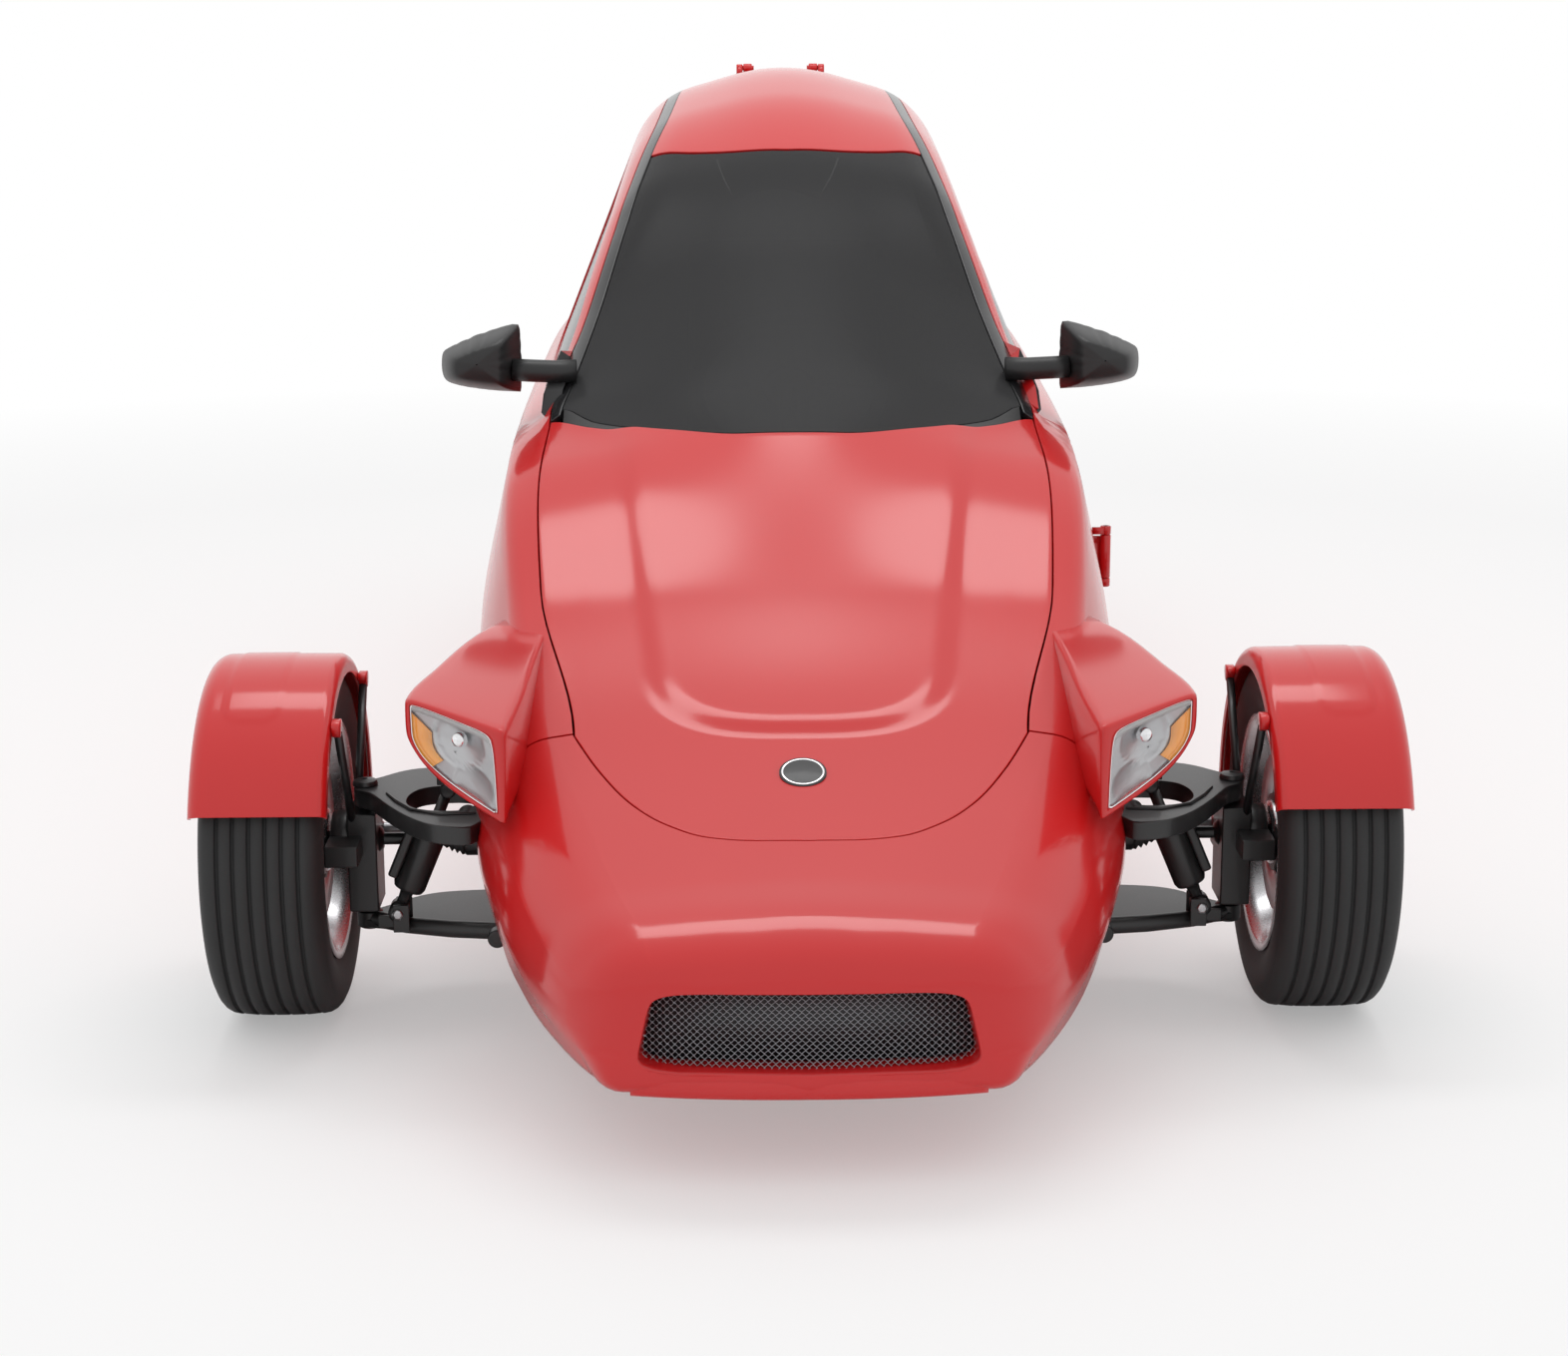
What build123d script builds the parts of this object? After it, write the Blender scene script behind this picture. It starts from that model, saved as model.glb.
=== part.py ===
"""Enclosed three-wheeled car: two seats in line, two outrigged front wheels, one rear wheel in the tail.

Frame: +Z up, -Y is the way the car drives, +X is the car's own left side.
The origin is on the floor at the middle of the overall length and width.
Places along the car are given as a distance behind the front axle, and every finished
piece is moved by AXLE_Y when it is written, so that the origin falls at the middle.
Millimetres throughout.
"""

import os
from math import atan2, cos, degrees, hypot, pi, radians, sin, tan

from build123d import *

# Driving dimensions
NOSE_AHEAD = 712.0  # front axle to the foremost point of the nose
TAIL_BEHIND = 3368.0  # front axle to the end of the tail
WHEELBASE = 2794.0
TRACK = 1546.0
TYRE_R = 262.0
TYRE_W = 178.0
BEAD_R = 170.0
LIP_R = 179.0
WALL = 30.0  # a whole panel, skin and inner frame
GLASS = 6.0
GAP = 6.0  # shut line round a door, hood or hatch
SEAT = 0.3  # clearance between pieces that rest on each other
AXLE_Y = (NOSE_AHEAD - TAIL_BEHIND) / 2
WHEEL_X = TRACK / 2
WHEEL_Z = TYRE_R

# The whole body, one row for each cross-section: sill corner, widest point, shoulder,
# foot of the side window, roof corner and crown
BODY = [
    # from_axle, z_sill, x_sill, z_wide, x_wide, z_shoulder, x_shoulder, z_foot, x_foot, z_roof, x_roof, z_top
    (-712, 116, 196, 200, 200, 262, 164, 267, 125, 271, 80, 275),
    (-690, 113, 236, 205, 272, 296, 224, 302, 170, 307, 110, 311),
    (-640, 112, 272, 218, 330, 320, 272, 328, 205, 336, 130, 343),
    (-540, 114, 322, 240, 380, 344, 318, 352, 240, 360, 150, 366),
    (-400, 118, 376, 290, 432, 382, 352, 391, 280, 399, 170, 405),
    (-200, 122, 422, 330, 474, 445, 388, 455, 320, 465, 190, 471),
    (100, 128, 442, 420, 496, 572, 430, 585, 378, 597, 230, 607),
    (460, 132, 448, 505, 516, 742, 464, 762, 414, 784, 260, 798),
    (640, 134, 450, 525, 522, 776, 464, 796, 420, 832, 390, 914),
    (850, 136, 450, 545, 528, 790, 464, 814, 428, 944, 362, 1051),
    (1100, 138, 448, 560, 530, 800, 464, 826, 434, 1165, 290, 1216),
    (1350, 140, 444, 570, 528, 812, 462, 838, 434, 1254, 266, 1308),
    (1650, 142, 436, 578, 520, 826, 456, 850, 430, 1286, 258, 1344),
    (2050, 146, 404, 590, 488, 842, 425, 866, 402, 1266, 240, 1324),
    (2450, 170, 340, 605, 430, 852, 375, 876, 352, 1188, 212, 1243),
    (2850, 240, 252, 625, 340, 858, 298, 880, 275, 1060, 172, 1106),
    (3150, 320, 184, 640, 258, 850, 225, 868, 208, 958, 132, 994),
    (3368, 430, 120, 640, 176, 795, 150, 812, 138, 846, 95, 864),
]
CROWN_SHARE = 0.795  # how much of the crown's corner is left under its arc
ROUNDING = (0.42, 0.5, 0.5, 0.0, 0.42, 0.8)  # share of the shorter run used by each corner's arc

# Panel lines
GRILLE = [(-230, 154), (230, 154), (212, 250), (198, 262), (-198, 262), (-212, 250)]  # x and height
LIP_HALF = 233.0
HOOD_OUTLINE = [
    # from_axle, half_width
    (-452, 60),
    (-436, 130),
    (-344, 238),
    (-165, 326),
    (154, 392),
    (400, 408),
    (600, 402),
]
RAISED = [  # outline of the hood's raised panel, behind the front axle and half width
    (-200, 90),
    (-186, 150),
    (-140, 200),
    (-60, 230),
    (500, 306),
    (620, 312),
]
RAISE = 9.0
HOOD_REAR = [
    # from_axle, half_width
    (540, 330),
    (484, 200),
    (458, 80),
]
HOOD_HINGE = (612.0, 838.0)  # behind the front axle, height
HOOD_OPEN = 50.0
FASCIA_CUT = -170.0
SCREEN_LINE = [
    (640, 378),
    (850, 330),
    (1105, 264),
    (1190, 246),
    (1138, 160),
    (1112, 80),
]
SCREEN_BASE = [
    # from_axle, half_width
    (612, 372),
    (552, 322),
    (498, 200),
    (472, 80),
]
ROOF_LINE = [
    (1112, 80),
    (1138, 160),
    (1190, 246),
    (1350, 218),
    (1650, 200),
    (2080, 190),
]
STRIP_LINE = [
    (600, 394),
    (640, 400),
    (850, 355),
    (1105, 289),
    (1190, 271),
    (1350, 243),
    (1650, 225),
    (2074, 215),
]
COWL_HALF = 352.0
HATCH_LINE = [
    # from_axle, half_width
    (2080, 190),
    (2450, 168),
    (2850, 136),
    (3060, 112),
]
REAR_GLASS = [
    # from_axle, half_width
    (2150, 160),
    (2450, 140),
    (2760, 116),
]
HATCH_HINGE = (2080.0, 1332.0)
HINGE_PIN = 5.0
HATCH_OPEN = 60.0
DOOR_FRONT = 650.0
DOOR_REAR = 1400.0  # at the car's middle plane, the rear edge leans back by DOOR_LEAN for each unit outward
DOOR_LEAN = 0.30
DOOR_SILL = 262.0
DOOR_TOP = [(650, 822), (850, 930), (1100, 1140), (1350, 1222)]
DOOR_TOP_REAR = 1246.0
DOOR_HINGE_X = 532.0
DOOR_HINGE_Y = 646.0
DOOR_OPEN = 65.0
WINDOW = [(742, 842), (1420, 862), (1400, 1196), (1330, 1178), (1110, 1092), (900, 952)]
QUARTER = [(1600, 872), (2240, 884), (2120, 1150), (1900, 1196), (1600, 1206)]

# Running gear
FENDER_R = 283.0
FENDER_W = 198.0
FENDER_SHEET = 4.0
FENDER_LIP = 32.0
FENDER_FRONT_DEG = 23.0
FENDER_REAR_DEG = 178.0
KINGPIN_X = 650.0
KNUCKLE_Z = (158.0, 312.0)
UPPER_ARM = (318.0, 346.0)
LOWER_ARM = (124.0, 150.0)
BALL_BORE = 34.0
BALL_R = 28.0
SHAFT_R = 10.0
PICKUP_X = 505.0
STEER_ARM = 118.0
RACK_Z = 244.0
STEER_LOCK = 28.0
DISC_R = 120.0
COLUMN_TOP = (985.0, 800.0)
REAR_WELL = (2478.0, 3118.0)
WELL_HALF = 138.0
WELL_TOP = 580.0
WELL_WALL = 5.0


def point(x, y, z):
    return Vector(x, y, z)


def ring(row, inset=0.0):
    """Closed outline of one body section: straight runs with a tangent arc at each rounded corner."""
    y, z0, x0, z1, x1, z2, x2, z3, x3, z4, x4, z5 = row
    z0, z2, z3, z4, z5 = z0 + inset, z2 - inset, z3 - inset, z4 - inset, z5 - inset
    x0, x1, x2, x3, x4 = x0 - inset, x1 - inset, x2 - inset, x3 - inset, x4 - inset
    apex = z4 + (z5 - z4) / CROWN_SHARE
    right = [(x0, z0), (x1, z1), (x2, z2), (x3, z3), (x4, z4)]
    corners = right + [(0, apex)] + [(-x, z) for x, z in reversed(right)]
    shares = list(ROUNDING[:5]) + [ROUNDING[5]] + list(reversed(ROUNDING[:5]))
    edges = []
    arcs = []
    count = len(corners)
    for i in range(count):
        here = point(corners[i][0], y, corners[i][1])
        if shares[i] == 0:
            arcs.append((here, None, here))
            continue
        back = point(corners[i - 1][0], y, corners[i - 1][1]) - here
        ahead = point(corners[(i + 1) % count][0], y, corners[(i + 1) % count][1]) - here
        reach = shares[i] * min(back.length, ahead.length) * 0.5
        if shares[i - 1] == 0 or shares[(i + 1) % count] == 0:
            reach = shares[i] * min(back.length, ahead.length) * 0.7
        u, v = back.normalized(), ahead.normalized()
        half = radians(u.get_angle(v)) / 2
        radius = reach * tan(half)
        middle = (u + v).normalized() * (radius / sin(half) - radius)
        arcs.append((here + u * reach, here + middle, here + v * reach))
    for i in range(count):
        start, middle, end = arcs[i]
        if middle is not None:
            edges.append(Edge.make_three_point_arc(start, middle, end))
        edges.append(Edge.make_line(end, arcs[(i + 1) % count][0]))
    return Wire(edges)


def body_form(inset=0.0):
    """The solid inside the body's outer surface, taken in by inset all round."""
    rows = [list(row) for row in BODY]
    rows[0][0] += inset
    rows[-1][0] -= inset
    return Solid.make_loft([ring(row, inset) for row in rows], True)


def shrink(outline, amount):
    """Move each side of a closed plane outline inward by amount; a negative amount widens it."""
    area = sum(a[0] * b[1] - b[0] * a[1] for a, b in zip(outline, outline[1:] + outline[:1]))
    turn = 1.0 if area > 0 else -1.0
    count = len(outline)
    result = []
    for i in range(count):
        (ax, ay), (bx, by), (cx, cy) = outline[i - 1], outline[i], outline[(i + 1) % count]
        l1, l2 = hypot(bx - ax, by - ay), hypot(cx - bx, cy - by)
        n1 = (-(by - ay) / l1 * turn, (bx - ax) / l1 * turn)
        n2 = (-(cy - by) / l2 * turn, (cx - bx) / l2 * turn)
        share = amount / (1 + n1[0] * n2[0] + n1[1] * n2[1])
        result.append((bx + (n1[0] + n2[0]) * share, by + (n1[1] + n2[1]) * share))
    return result


def plan_prism(outline, z_low, z_high):
    """Upright prism over a closed outline of (x, y) points."""
    face = Face(Wire.make_polygon([point(x, y, z_low) for x, y in outline], close=True))
    return Solid.extrude(face, point(0, 0, z_high - z_low))


def side_prism(outline, x_low, x_high):
    """Prism across the car over a closed outline of (y, z) points."""
    face = Face(Wire.make_polygon([point(x_low, y, z) for y, z in outline], close=True))
    return Solid.extrude(face, point(x_high - x_low, 0, 0))


def front_prism(outline, y_low, y_high):
    """Prism along the car over a closed outline of (x, z) points."""
    face = Face(Wire.make_polygon([point(x, y_low, z) for x, z in outline], close=True))
    return Solid.extrude(face, point(0, y_high - y_low, 0))


def block(x0, x1, y0, y1, z0, z1):
    return Pos((x0 + x1) / 2, (y0 + y1) / 2, (z0 + z1) / 2) * Box(x1 - x0, y1 - y0, z1 - z0)


def rod(start, end, radius):
    """Round bar between two points."""
    a, b = Vector(*start), Vector(*end)
    return Solid.make_cylinder(radius, (b - a).length, Plane(origin=a, z_dir=b - a))


def tube_x(x0, x1, y, z, outer, inner=0.0):
    """Round tube or disc whose axis runs across the car."""
    shape = rod((x0, y, z), (x1, y, z), outer)
    return shape - rod((x0 - 1, y, z), (x1 + 1, y, z), inner) if inner else shape


def flip(shape):
    return mirror(shape, about=Plane.YZ)


def pair(shape):
    return Compound(children=list(shape.solids()) + list(flip(shape).solids()))


def both_ways(rows):
    """Close a plan outline of (from_axle, half_width) rows by its mirror image."""
    return [(w, y) for y, w in rows] + [(-w, y) for y, w in reversed(rows)]


def hood_outline():
    return both_ways(HOOD_OUTLINE + HOOD_REAR)


def screen_outline():
    return both_ways(list(reversed(SCREEN_BASE)) + SCREEN_LINE)


def door_prism(extra):
    """Prism of the door; its rear edge leans back so that the door swings clear of the pillar."""
    inner_x, outer_x = 120.0, 640.0
    sections = []
    for x in (inner_x, outer_x):
        rear = DOOR_REAR + DOOR_LEAN * x
        outline = [(DOOR_FRONT, DOOR_SILL)] + DOOR_TOP + [(rear, DOOR_TOP_REAR), (rear, DOOR_SILL)]
        outline = shrink(outline, -extra)
        sections.append(Wire.make_polygon([point(x, y, z) for y, z in outline], close=True))
    return Solid.make_loft(sections, True)


def add_bodywork(parts):
    """Cut the hollow body along its panel lines."""
    outer, inner = body_form(), body_form(WALL)
    glass_out, glass_in = body_form(3.0), body_form(3.0 + GLASS)
    half = GAP / 2
    hood_cut = plan_prism(shrink(hood_outline(), -half), 300, 900)
    hood_keep = plan_prism(shrink(hood_outline(), half), 300, 900)
    screen = screen_outline()
    roof = both_ways(ROOF_LINE)
    hatch = both_ways(HATCH_LINE)
    cowl_zone = plan_prism([(-COWL_HALF, 440), (COWL_HALF, 440), (COWL_HALF, 618), (-COWL_HALF, 618)], 600, 1000)
    strip_zone = plan_prism(both_ways(STRIP_LINE), 700, 1400)
    top = plan_prism(screen, 640, 1400) + plan_prism(roof, 900, 1400)
    hatch_cut = plan_prism(shrink(hatch, -half), 900, 1400)
    window = side_prism(WINDOW, 200, 700)
    quarter = side_prism(QUARTER, 200, 700)
    shell = outer - inner
    nose_half = block(-700, 700, -800, FASCIA_CUT, 0, 900)
    grille_hole = front_prism(GRILLE, -760, -600)
    pod_zone = block(-700, 700, -520, 140, 420, 620)

    raised = (body_form(-RAISE) - body_form(WALL / 2)) & plan_prism(both_ways(RAISED), 300, 900)
    parts["hood"] = (shell & hood_keep) + (raised & hood_keep)
    rest = shell - hood_cut
    fascia = (rest & nose_half) - grille_hole
    fascia = fascia - block(-LIP_HALF, LIP_HALF, -760, -655, 90, 151)
    parts["nose_panel"] = fascia
    tub = rest - block(-700, 700, -800, FASCIA_CUT + SEAT, 0, 900)
    tub = tub - top - hatch_cut - door_prism(half) - cowl_zone - strip_zone
    tub = tub - window - flip(window) - quarter - flip(quarter)
    tub = tub - block(-WELL_HALF, WELL_HALF, REAR_WELL[0], REAR_WELL[1], 0, 700)
    tub = tub - block(-560, 560, STEER_ARM - 17, STEER_ARM + 17, RACK_Z - 17, RACK_Z + 17)
    for outline in lamp_outlines():
        tub = tub - front_prism(shrink(outline, -SEAT), TAIL_BEHIND - 14 - SEAT, TAIL_BEHIND + 5)
    parts["body_tub"] = tub
    full = plan_prism([(-COWL_HALF + SEAT, 440), (COWL_HALF - SEAT, 440), (COWL_HALF - SEAT, 618 - SEAT),
                       (-COWL_HALF + SEAT, 618 - SEAT)], 600, 1000)
    parts["cowl_trim"] = (shell & full) - hood_cut - plan_prism(screen, 640, 1400)
    strips = (shell & plan_prism(shrink(both_ways(STRIP_LINE), SEAT), 700, 1400)) - top - cowl_zone
    parts["roof_strips"] = strips
    door = (shell & door_prism(-half)) - window
    door = door - plan_prism(shrink(both_ways(STRIP_LINE), -GAP), 700, 1400)
    parts["door"] = door
    thin = glass_out - glass_in
    parts["windscreen"] = thin & plan_prism(shrink(screen, SEAT), 640, 1400)
    parts["roof_panel"] = shell & plan_prism(shrink(roof, SEAT), 900, 1400)
    lid = shell & plan_prism(shrink(hatch, half), 900, 1400)
    rear_glass = both_ways(REAR_GLASS)
    parts["rear_hatch"] = lid - plan_prism(rear_glass, 900, 1400)
    parts["rear_hatch_glass"] = thin & plan_prism(shrink(rear_glass, SEAT), 900, 1400)
    parts["door_glass"] = thin & side_prism(shrink(WINDOW, SEAT), 200, 700)
    fixed_pane = thin & side_prism(shrink(WINDOW, SEAT), -700, -200)
    quarter_pane = thin & side_prism(shrink(QUARTER, SEAT), 200, 700)
    parts["side_glasses"] = Compound(children=[fixed_pane, quarter_pane, flip(quarter_pane)])
    parts["grille_mesh"] = front_prism(
        shrink(GRILLE, SEAT), -672, -666
    )


def lamp_outlines():
    """Outlines of the two tail lamps, in (x, z)."""
    right = [(52, 612), (118, 624), (126, 700), (112, 772), (50, 776)]
    return [right, [(-x, z) for x, z in reversed(right)]]


POD = [
    # from_axle, x_inner, x_outer, z_low, z_top
    (-390, 392, 556, 372, 502),
    (-206, 386, 562, 400, 532),
    (-80, 382, 530, 424, 548),
    (60, 378, 488, 452, 562),
    (150, 374, 462, 476, 574),
]
LAMP_FACE = [(388, -352), (566, -206)]  # inner and outer end of the lens, in (x, from_axle)
LAMP_DEPTH = 36.0
LAMP_INNER = 416.0
LAMP_RIM = 9.0


def pod_form(inset):
    """The fairing that carries a headlamp, taken in by inset all round."""
    sections = []
    for y, xi, xo, z0, z1 in POD:
        h = z1 - z0
        outline = [
            (xi, z0),
            (xo - 0.42 * (xo - xi), z0 + 0.03 * h),
            (xo - 0.10 * (xo - xi), z0 + 0.26 * h),
            (xo, z0 + 0.58 * h),
            (xo - 0.06 * (xo - xi), z1 - 0.14 * h),
            (xo - 0.30 * (xo - xi), z1),
            (xi, z1 + 6),
        ]
        outline = shrink(outline, inset)
        sections.append(Wire.make_polygon([point(x, y, z) for x, z in outline], close=True))
    return Solid.make_loft(sections, True)


def slant(ahead, behind):
    """Upright slab parallel to the lamp face, from ahead of it to behind it."""
    (x0, y0), (x1, y1) = LAMP_FACE
    slope = (y1 - y0) / (x1 - x0)
    ends = []
    for x in (300.0, 700.0):
        ends.append((x, y0 + slope * (x - x0)))
    (xa, ya), (xb, yb) = ends
    return plan_prism([(xa, ya - ahead), (xb, yb - ahead), (xb, yb + behind), (xa, ya + behind)], 300, 700)


def add_hinges(parts):
    """Pins and ears on the body, with leaves added to the door and the hatch."""
    skin = body_form(-SEAT)
    x, y = DOOR_HINGE_X, DOOR_HINGE_Y
    pin = rod((x, y, 508), (x, y, 612), HINGE_PIN)
    for z in (508, 598):
        pin = pin + ((block(x - 40, x, y - 44, y - 9, z, z + 14) - skin).solids().sort_by(SortBy.VOLUME)[-1])
        pin = pin + block(x - 5, x + 8, y - 12, y + 8, z, z + 14)
    leaf = block(x - 40, x + 8, y + 1, y + 50, 523, 597) - skin
    leaf = leaf.solids().sort_by(SortBy.VOLUME)[-1] + rod((x, y, 523), (x, y, 597), 9)
    leaf = leaf - rod((x, y, 500), (x, y, 620), HINGE_PIN + SEAT)
    parts["door_hinge_leaf"] = leaf
    y, z = HATCH_HINGE
    fixed = rod((-92, y, z), (92, y, z), HINGE_PIN)
    for side in (-86, 86):
        fixed = fixed + block(side - 7, side + 7, y - 8, y + 8, z - 8, z + 8)
        ear = block(side - 7, side + 7, y - 46, y + 2, z - 40, z + 4) - skin
        fixed = fixed + ear.solids().sort_by(SortBy.VOLUME)[-1]
    hatch_leaf = block(-78, 78, y + 1, y + 44, z - 40, z + 8) - skin
    hatch_leaf = hatch_leaf.solids().sort_by(SortBy.VOLUME)[-1] - block(-60, 60, y - 30, y + 20, z - 40, z + 30)
    for side in (-69, 69):
        hatch_leaf = hatch_leaf + rod((side - 9, y, z), (side + 9, y, z), 9)
    parts["hatch_hinge_leaf"] = hatch_leaf - rod((-99, y, z), (99, y, z), HINGE_PIN + SEAT)
    parts["hinges"] = Compound(children=[pin, fixed])


def add_lamps(parts):
    """Headlamp fairings, headlamps and tail lamps."""
    skin = body_form(-SEAT)
    pod = pod_form(0) - slant(400, 0) - (pod_form(LAMP_RIM) & slant(10, LAMP_DEPTH + SEAT) & block(LAMP_INNER, 640, -500, 0, 0, 700)) - skin
    pod = pod.solids().sort_by(SortBy.VOLUME)[-1]
    parts["lamp_pods"] = pair(pod)
    lamp = (pod_form(LAMP_RIM + SEAT) & slant(-3, LAMP_DEPTH) & block(LAMP_INNER + SEAT, 640, -500, 0, 0, 700)) - skin
    parts["headlamps"] = pair(lamp.solids().sort_by(SortBy.VOLUME)[-1])
    lamps = [front_prism(outline, TAIL_BEHIND - 14, TAIL_BEHIND) for outline in lamp_outlines()]
    parts["tail_lamps"] = Compound(children=lamps)
    badge = Solid.make_cylinder(BADGE_R, 30, Plane(origin=(0, -292, 415), z_dir=(0, -0.42, 1)))
    badge = badge & Solid.make_cylinder(BADGE_R + 1, 60, Plane(origin=(0, -292, 408), z_dir=(0, -0.42, 1)))
    badge = badge - skin
    parts["badge"] = badge.solids().sort_by(SortBy.VOLUME)[-1]
    edge = LIP_HALF - SEAT
    nose = [(-edge, -676), (-200, -692), (-110, -704), (0, -709), (110, -704), (200, -692), (edge, -676),
            (edge, -655 - SEAT), (-edge, -655 - SEAT)]
    parts["front_lip"] = plan_prism(nose, 114, 150)
    shell_x, outer_x = MIRROR_X
    mirror_sections = []
    for y, grow in ((640, 0.62), (672, 0.9), (734, 1.0)):
        cx, cz = (shell_x + outer_x) / 2, 893.0
        hx, hz = (outer_x - shell_x) / 2 * grow, 59.0 * grow
        outline = [(cx - hx, cz - hz), (cx + 0.7 * hx, cz - 0.85 * hz), (cx + hx, cz - 0.3 * hz),
                   (cx + hx, cz + 0.6 * hz), (cx + 0.6 * hx, cz + hz), (cx - hx, cz + 0.8 * hz)]
        mirror_sections.append(Wire.make_polygon([point(x, y, z) for x, z in outline], close=True))
    housing = Solid.make_loft(mirror_sections, True)
    stalk = block(352, shell_x + 12, 672, 712, 852, 892)
    case = (housing + stalk) - skin
    parts["mirrors"] = pair(case.solids().sort_by(SortBy.VOLUME)[-1])


def tyre(x):
    """Closed tyre ring about an axis across the car, centred at x, axle at the origin of Y and Z."""
    half = [(76, 170), (76, 179.6), (88, 206), (89, 222), (86, 240), (78, 253), (66, 260), (54, 262)]
    outline = [(x + a, r) for a, r in half] + [(x - a, r) for a, r in reversed(half)]
    face = Face(Wire.make_polygon([point(a, 0, r) for a, r in outline], close=True))
    return Solid.revolve(face, 360, Axis.X)


def rim(x, face_at, hub):
    """Alloy rim: barrel, two lips, a pierced disc and a hub from hub[0] to hub[1] of the centre."""
    barrel = tube_x(x - 76, x + 76, 0, 0, BEAD_R - SEAT, 160)
    for a in (-1, 1):
        lip = (x + a * (76 + SEAT), x + a * (82 + SEAT))
        barrel = barrel + tube_x(min(lip), max(lip), 0, 0, LIP_R, 160)
        seat = (x + a * 74, x + a * (78 + SEAT))
        barrel = barrel + tube_x(min(seat), max(seat), 0, 0, BEAD_R - SEAT, 160)
    web = tube_x(x + face_at, x + face_at + 14, 0, 0, 161)
    for i in range(5):
        a = radians(90 + 72 * i)
        web = web - tube_x(x + face_at - 1, x + face_at + 15, 108 * cos(a), 108 * sin(a), 36)
    return barrel + web + tube_x(x + hub[0], x + hub[1], 0, 0, 50)


def at_axle(shape, y):
    return Pos(0, y, WHEEL_Z) * shape


def add_running_gear(parts):
    """Wheels, knuckles, arms, shocks, half shafts, fenders and the rear swing arm."""
    front_tyre = at_axle(tyre(WHEEL_X), 0)
    front_rim = rim(WHEEL_X, 30, (-67, 46))
    front_rim = front_rim + tube_x(WHEEL_X - 57, WHEEL_X - 47, 0, 0, DISC_R)
    front_rim = at_axle(front_rim - tube_x(WHEEL_X - 90, WHEEL_X - 15, 0, 0, 12 + SEAT), 0)
    parts["tyre_front_left"], parts["tyre_front_right"] = front_tyre, flip(front_tyre)
    parts["rim_front_left"], parts["rim_front_right"] = front_rim, flip(front_rim)
    parts["tyre_rear"] = at_axle(tyre(0), WHEELBASE)
    rear_rim = rim(0, -7, (-92, 92)) - tube_x(-100, 100, 0, 0, 12 + SEAT)
    parts["rim_rear"] = at_axle(rear_rim, WHEELBASE)

    ring_outer = tube_x(WHEEL_X - FENDER_W / 2, WHEEL_X + FENDER_W / 2, 0, 0, FENDER_R, FENDER_R - FENDER_SHEET)
    for a in (-1, 1):
        edge = (WHEEL_X + a * FENDER_W / 2, WHEEL_X + a * (FENDER_W / 2 - FENDER_SHEET))
        ring_outer = ring_outer + tube_x(min(edge), max(edge), 0, 0, FENDER_R, FENDER_R - FENDER_LIP)
    fan = [(0, 0)]
    steps = 6
    for i in range(steps + 1):
        a = radians(FENDER_FRONT_DEG + (FENDER_REAR_DEG - FENDER_FRONT_DEG) * i / steps)
        fan.append((-400 * cos(a), 400 * sin(a)))
    fender = at_axle(ring_outer & side_prism(fan, 600, 1000), 0)
    parts["fender_left"], parts["fender_right"] = fender, flip(fender)

    knuckle = block(630, 676, -44, 44, KNUCKLE_Z[0], KNUCKLE_Z[1])
    knuckle = knuckle + tube_x(670, 700, 0, WHEEL_Z, 44) + tube_x(690, 752, 0, WHEEL_Z, 12)
    knuckle = knuckle + block(640, 660, 40, 132, 208, 222)
    knuckle = knuckle + block(702, 740, -148, -72, 227, 297) + block(650, 703, -100, -30, 245, 279)
    knuckle = knuckle - tube_x(600, 684, 0, WHEEL_Z, BALL_BORE) - block(710, 732, -129, -60, 200, 320)
    knuckle = knuckle - rod((KINGPIN_X, 0, 150), (KINGPIN_X, 0, 182), 8.6)
    knuckle = knuckle - rod((KINGPIN_X, 0, 298), (KINGPIN_X, 0, 320), 8.6)
    for s in (-1, 1):
        foot = (667, s * 34, 300)
        tip = (667, s * 150, WHEEL_Z + 212)
        knuckle = knuckle + rod(foot, tip, 6.5)
        knuckle = knuckle + block(660.5, WHEEL_X - FENDER_W / 2 - SEAT, s * 150 - 14, s * 150 + 14,
                                  WHEEL_Z + 196, WHEEL_Z + 226)
    parts["knuckle_left"], parts["knuckle_right"] = knuckle, flip(knuckle)

    skin = body_form(-SEAT)
    x0 = PICKUP_X + SEAT
    brackets = []
    for bracket in (block(400, PICKUP_X, -160, 112, 306, 350), block(380, PICKUP_X, -112, -84, 122, 152),
                    block(380, PICKUP_X, -12, 128, 128, 148), block(400, 536, -65, -25, 364, 392)):
        brackets.append((bracket - skin).solids().sort_by(SortBy.VOLUME)[-1])
    parts["suspension_brackets"] = pair(Compound(children=brackets))
    upper = plan_prism([(x0, -156), (560, -148), (606, -104), (640, -36), (668, -20), (668, 20), (640, 36),
                        (604, 84), (566, 102), (x0, 106)], *UPPER_ARM)
    upper = upper - plan_prism([(400, -118), (540, -118), (574, -90), (582, -45), (572, -10), (540, 8), (400, 8)],
                               300, 360)
    upper = upper + rod((KINGPIN_X, 0, 300), (KINGPIN_X, 0, 330), 8)
    lower = plan_prism([(x0, -112), (566, -106), (668, -24), (668, 24), (575, 112), (x0, 128)], *LOWER_ARM)
    lower = lower - plan_prism([(400, -84), (552, -80), (574, -62), (574, -24), (556, -12), (400, -12)], 100, 170)
    lower = lower + rod((KINGPIN_X, 0, 140), (KINGPIN_X, 0, 180), 8)
    parts["upper_arms"], parts["lower_arms"] = pair(upper), pair(lower)

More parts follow.
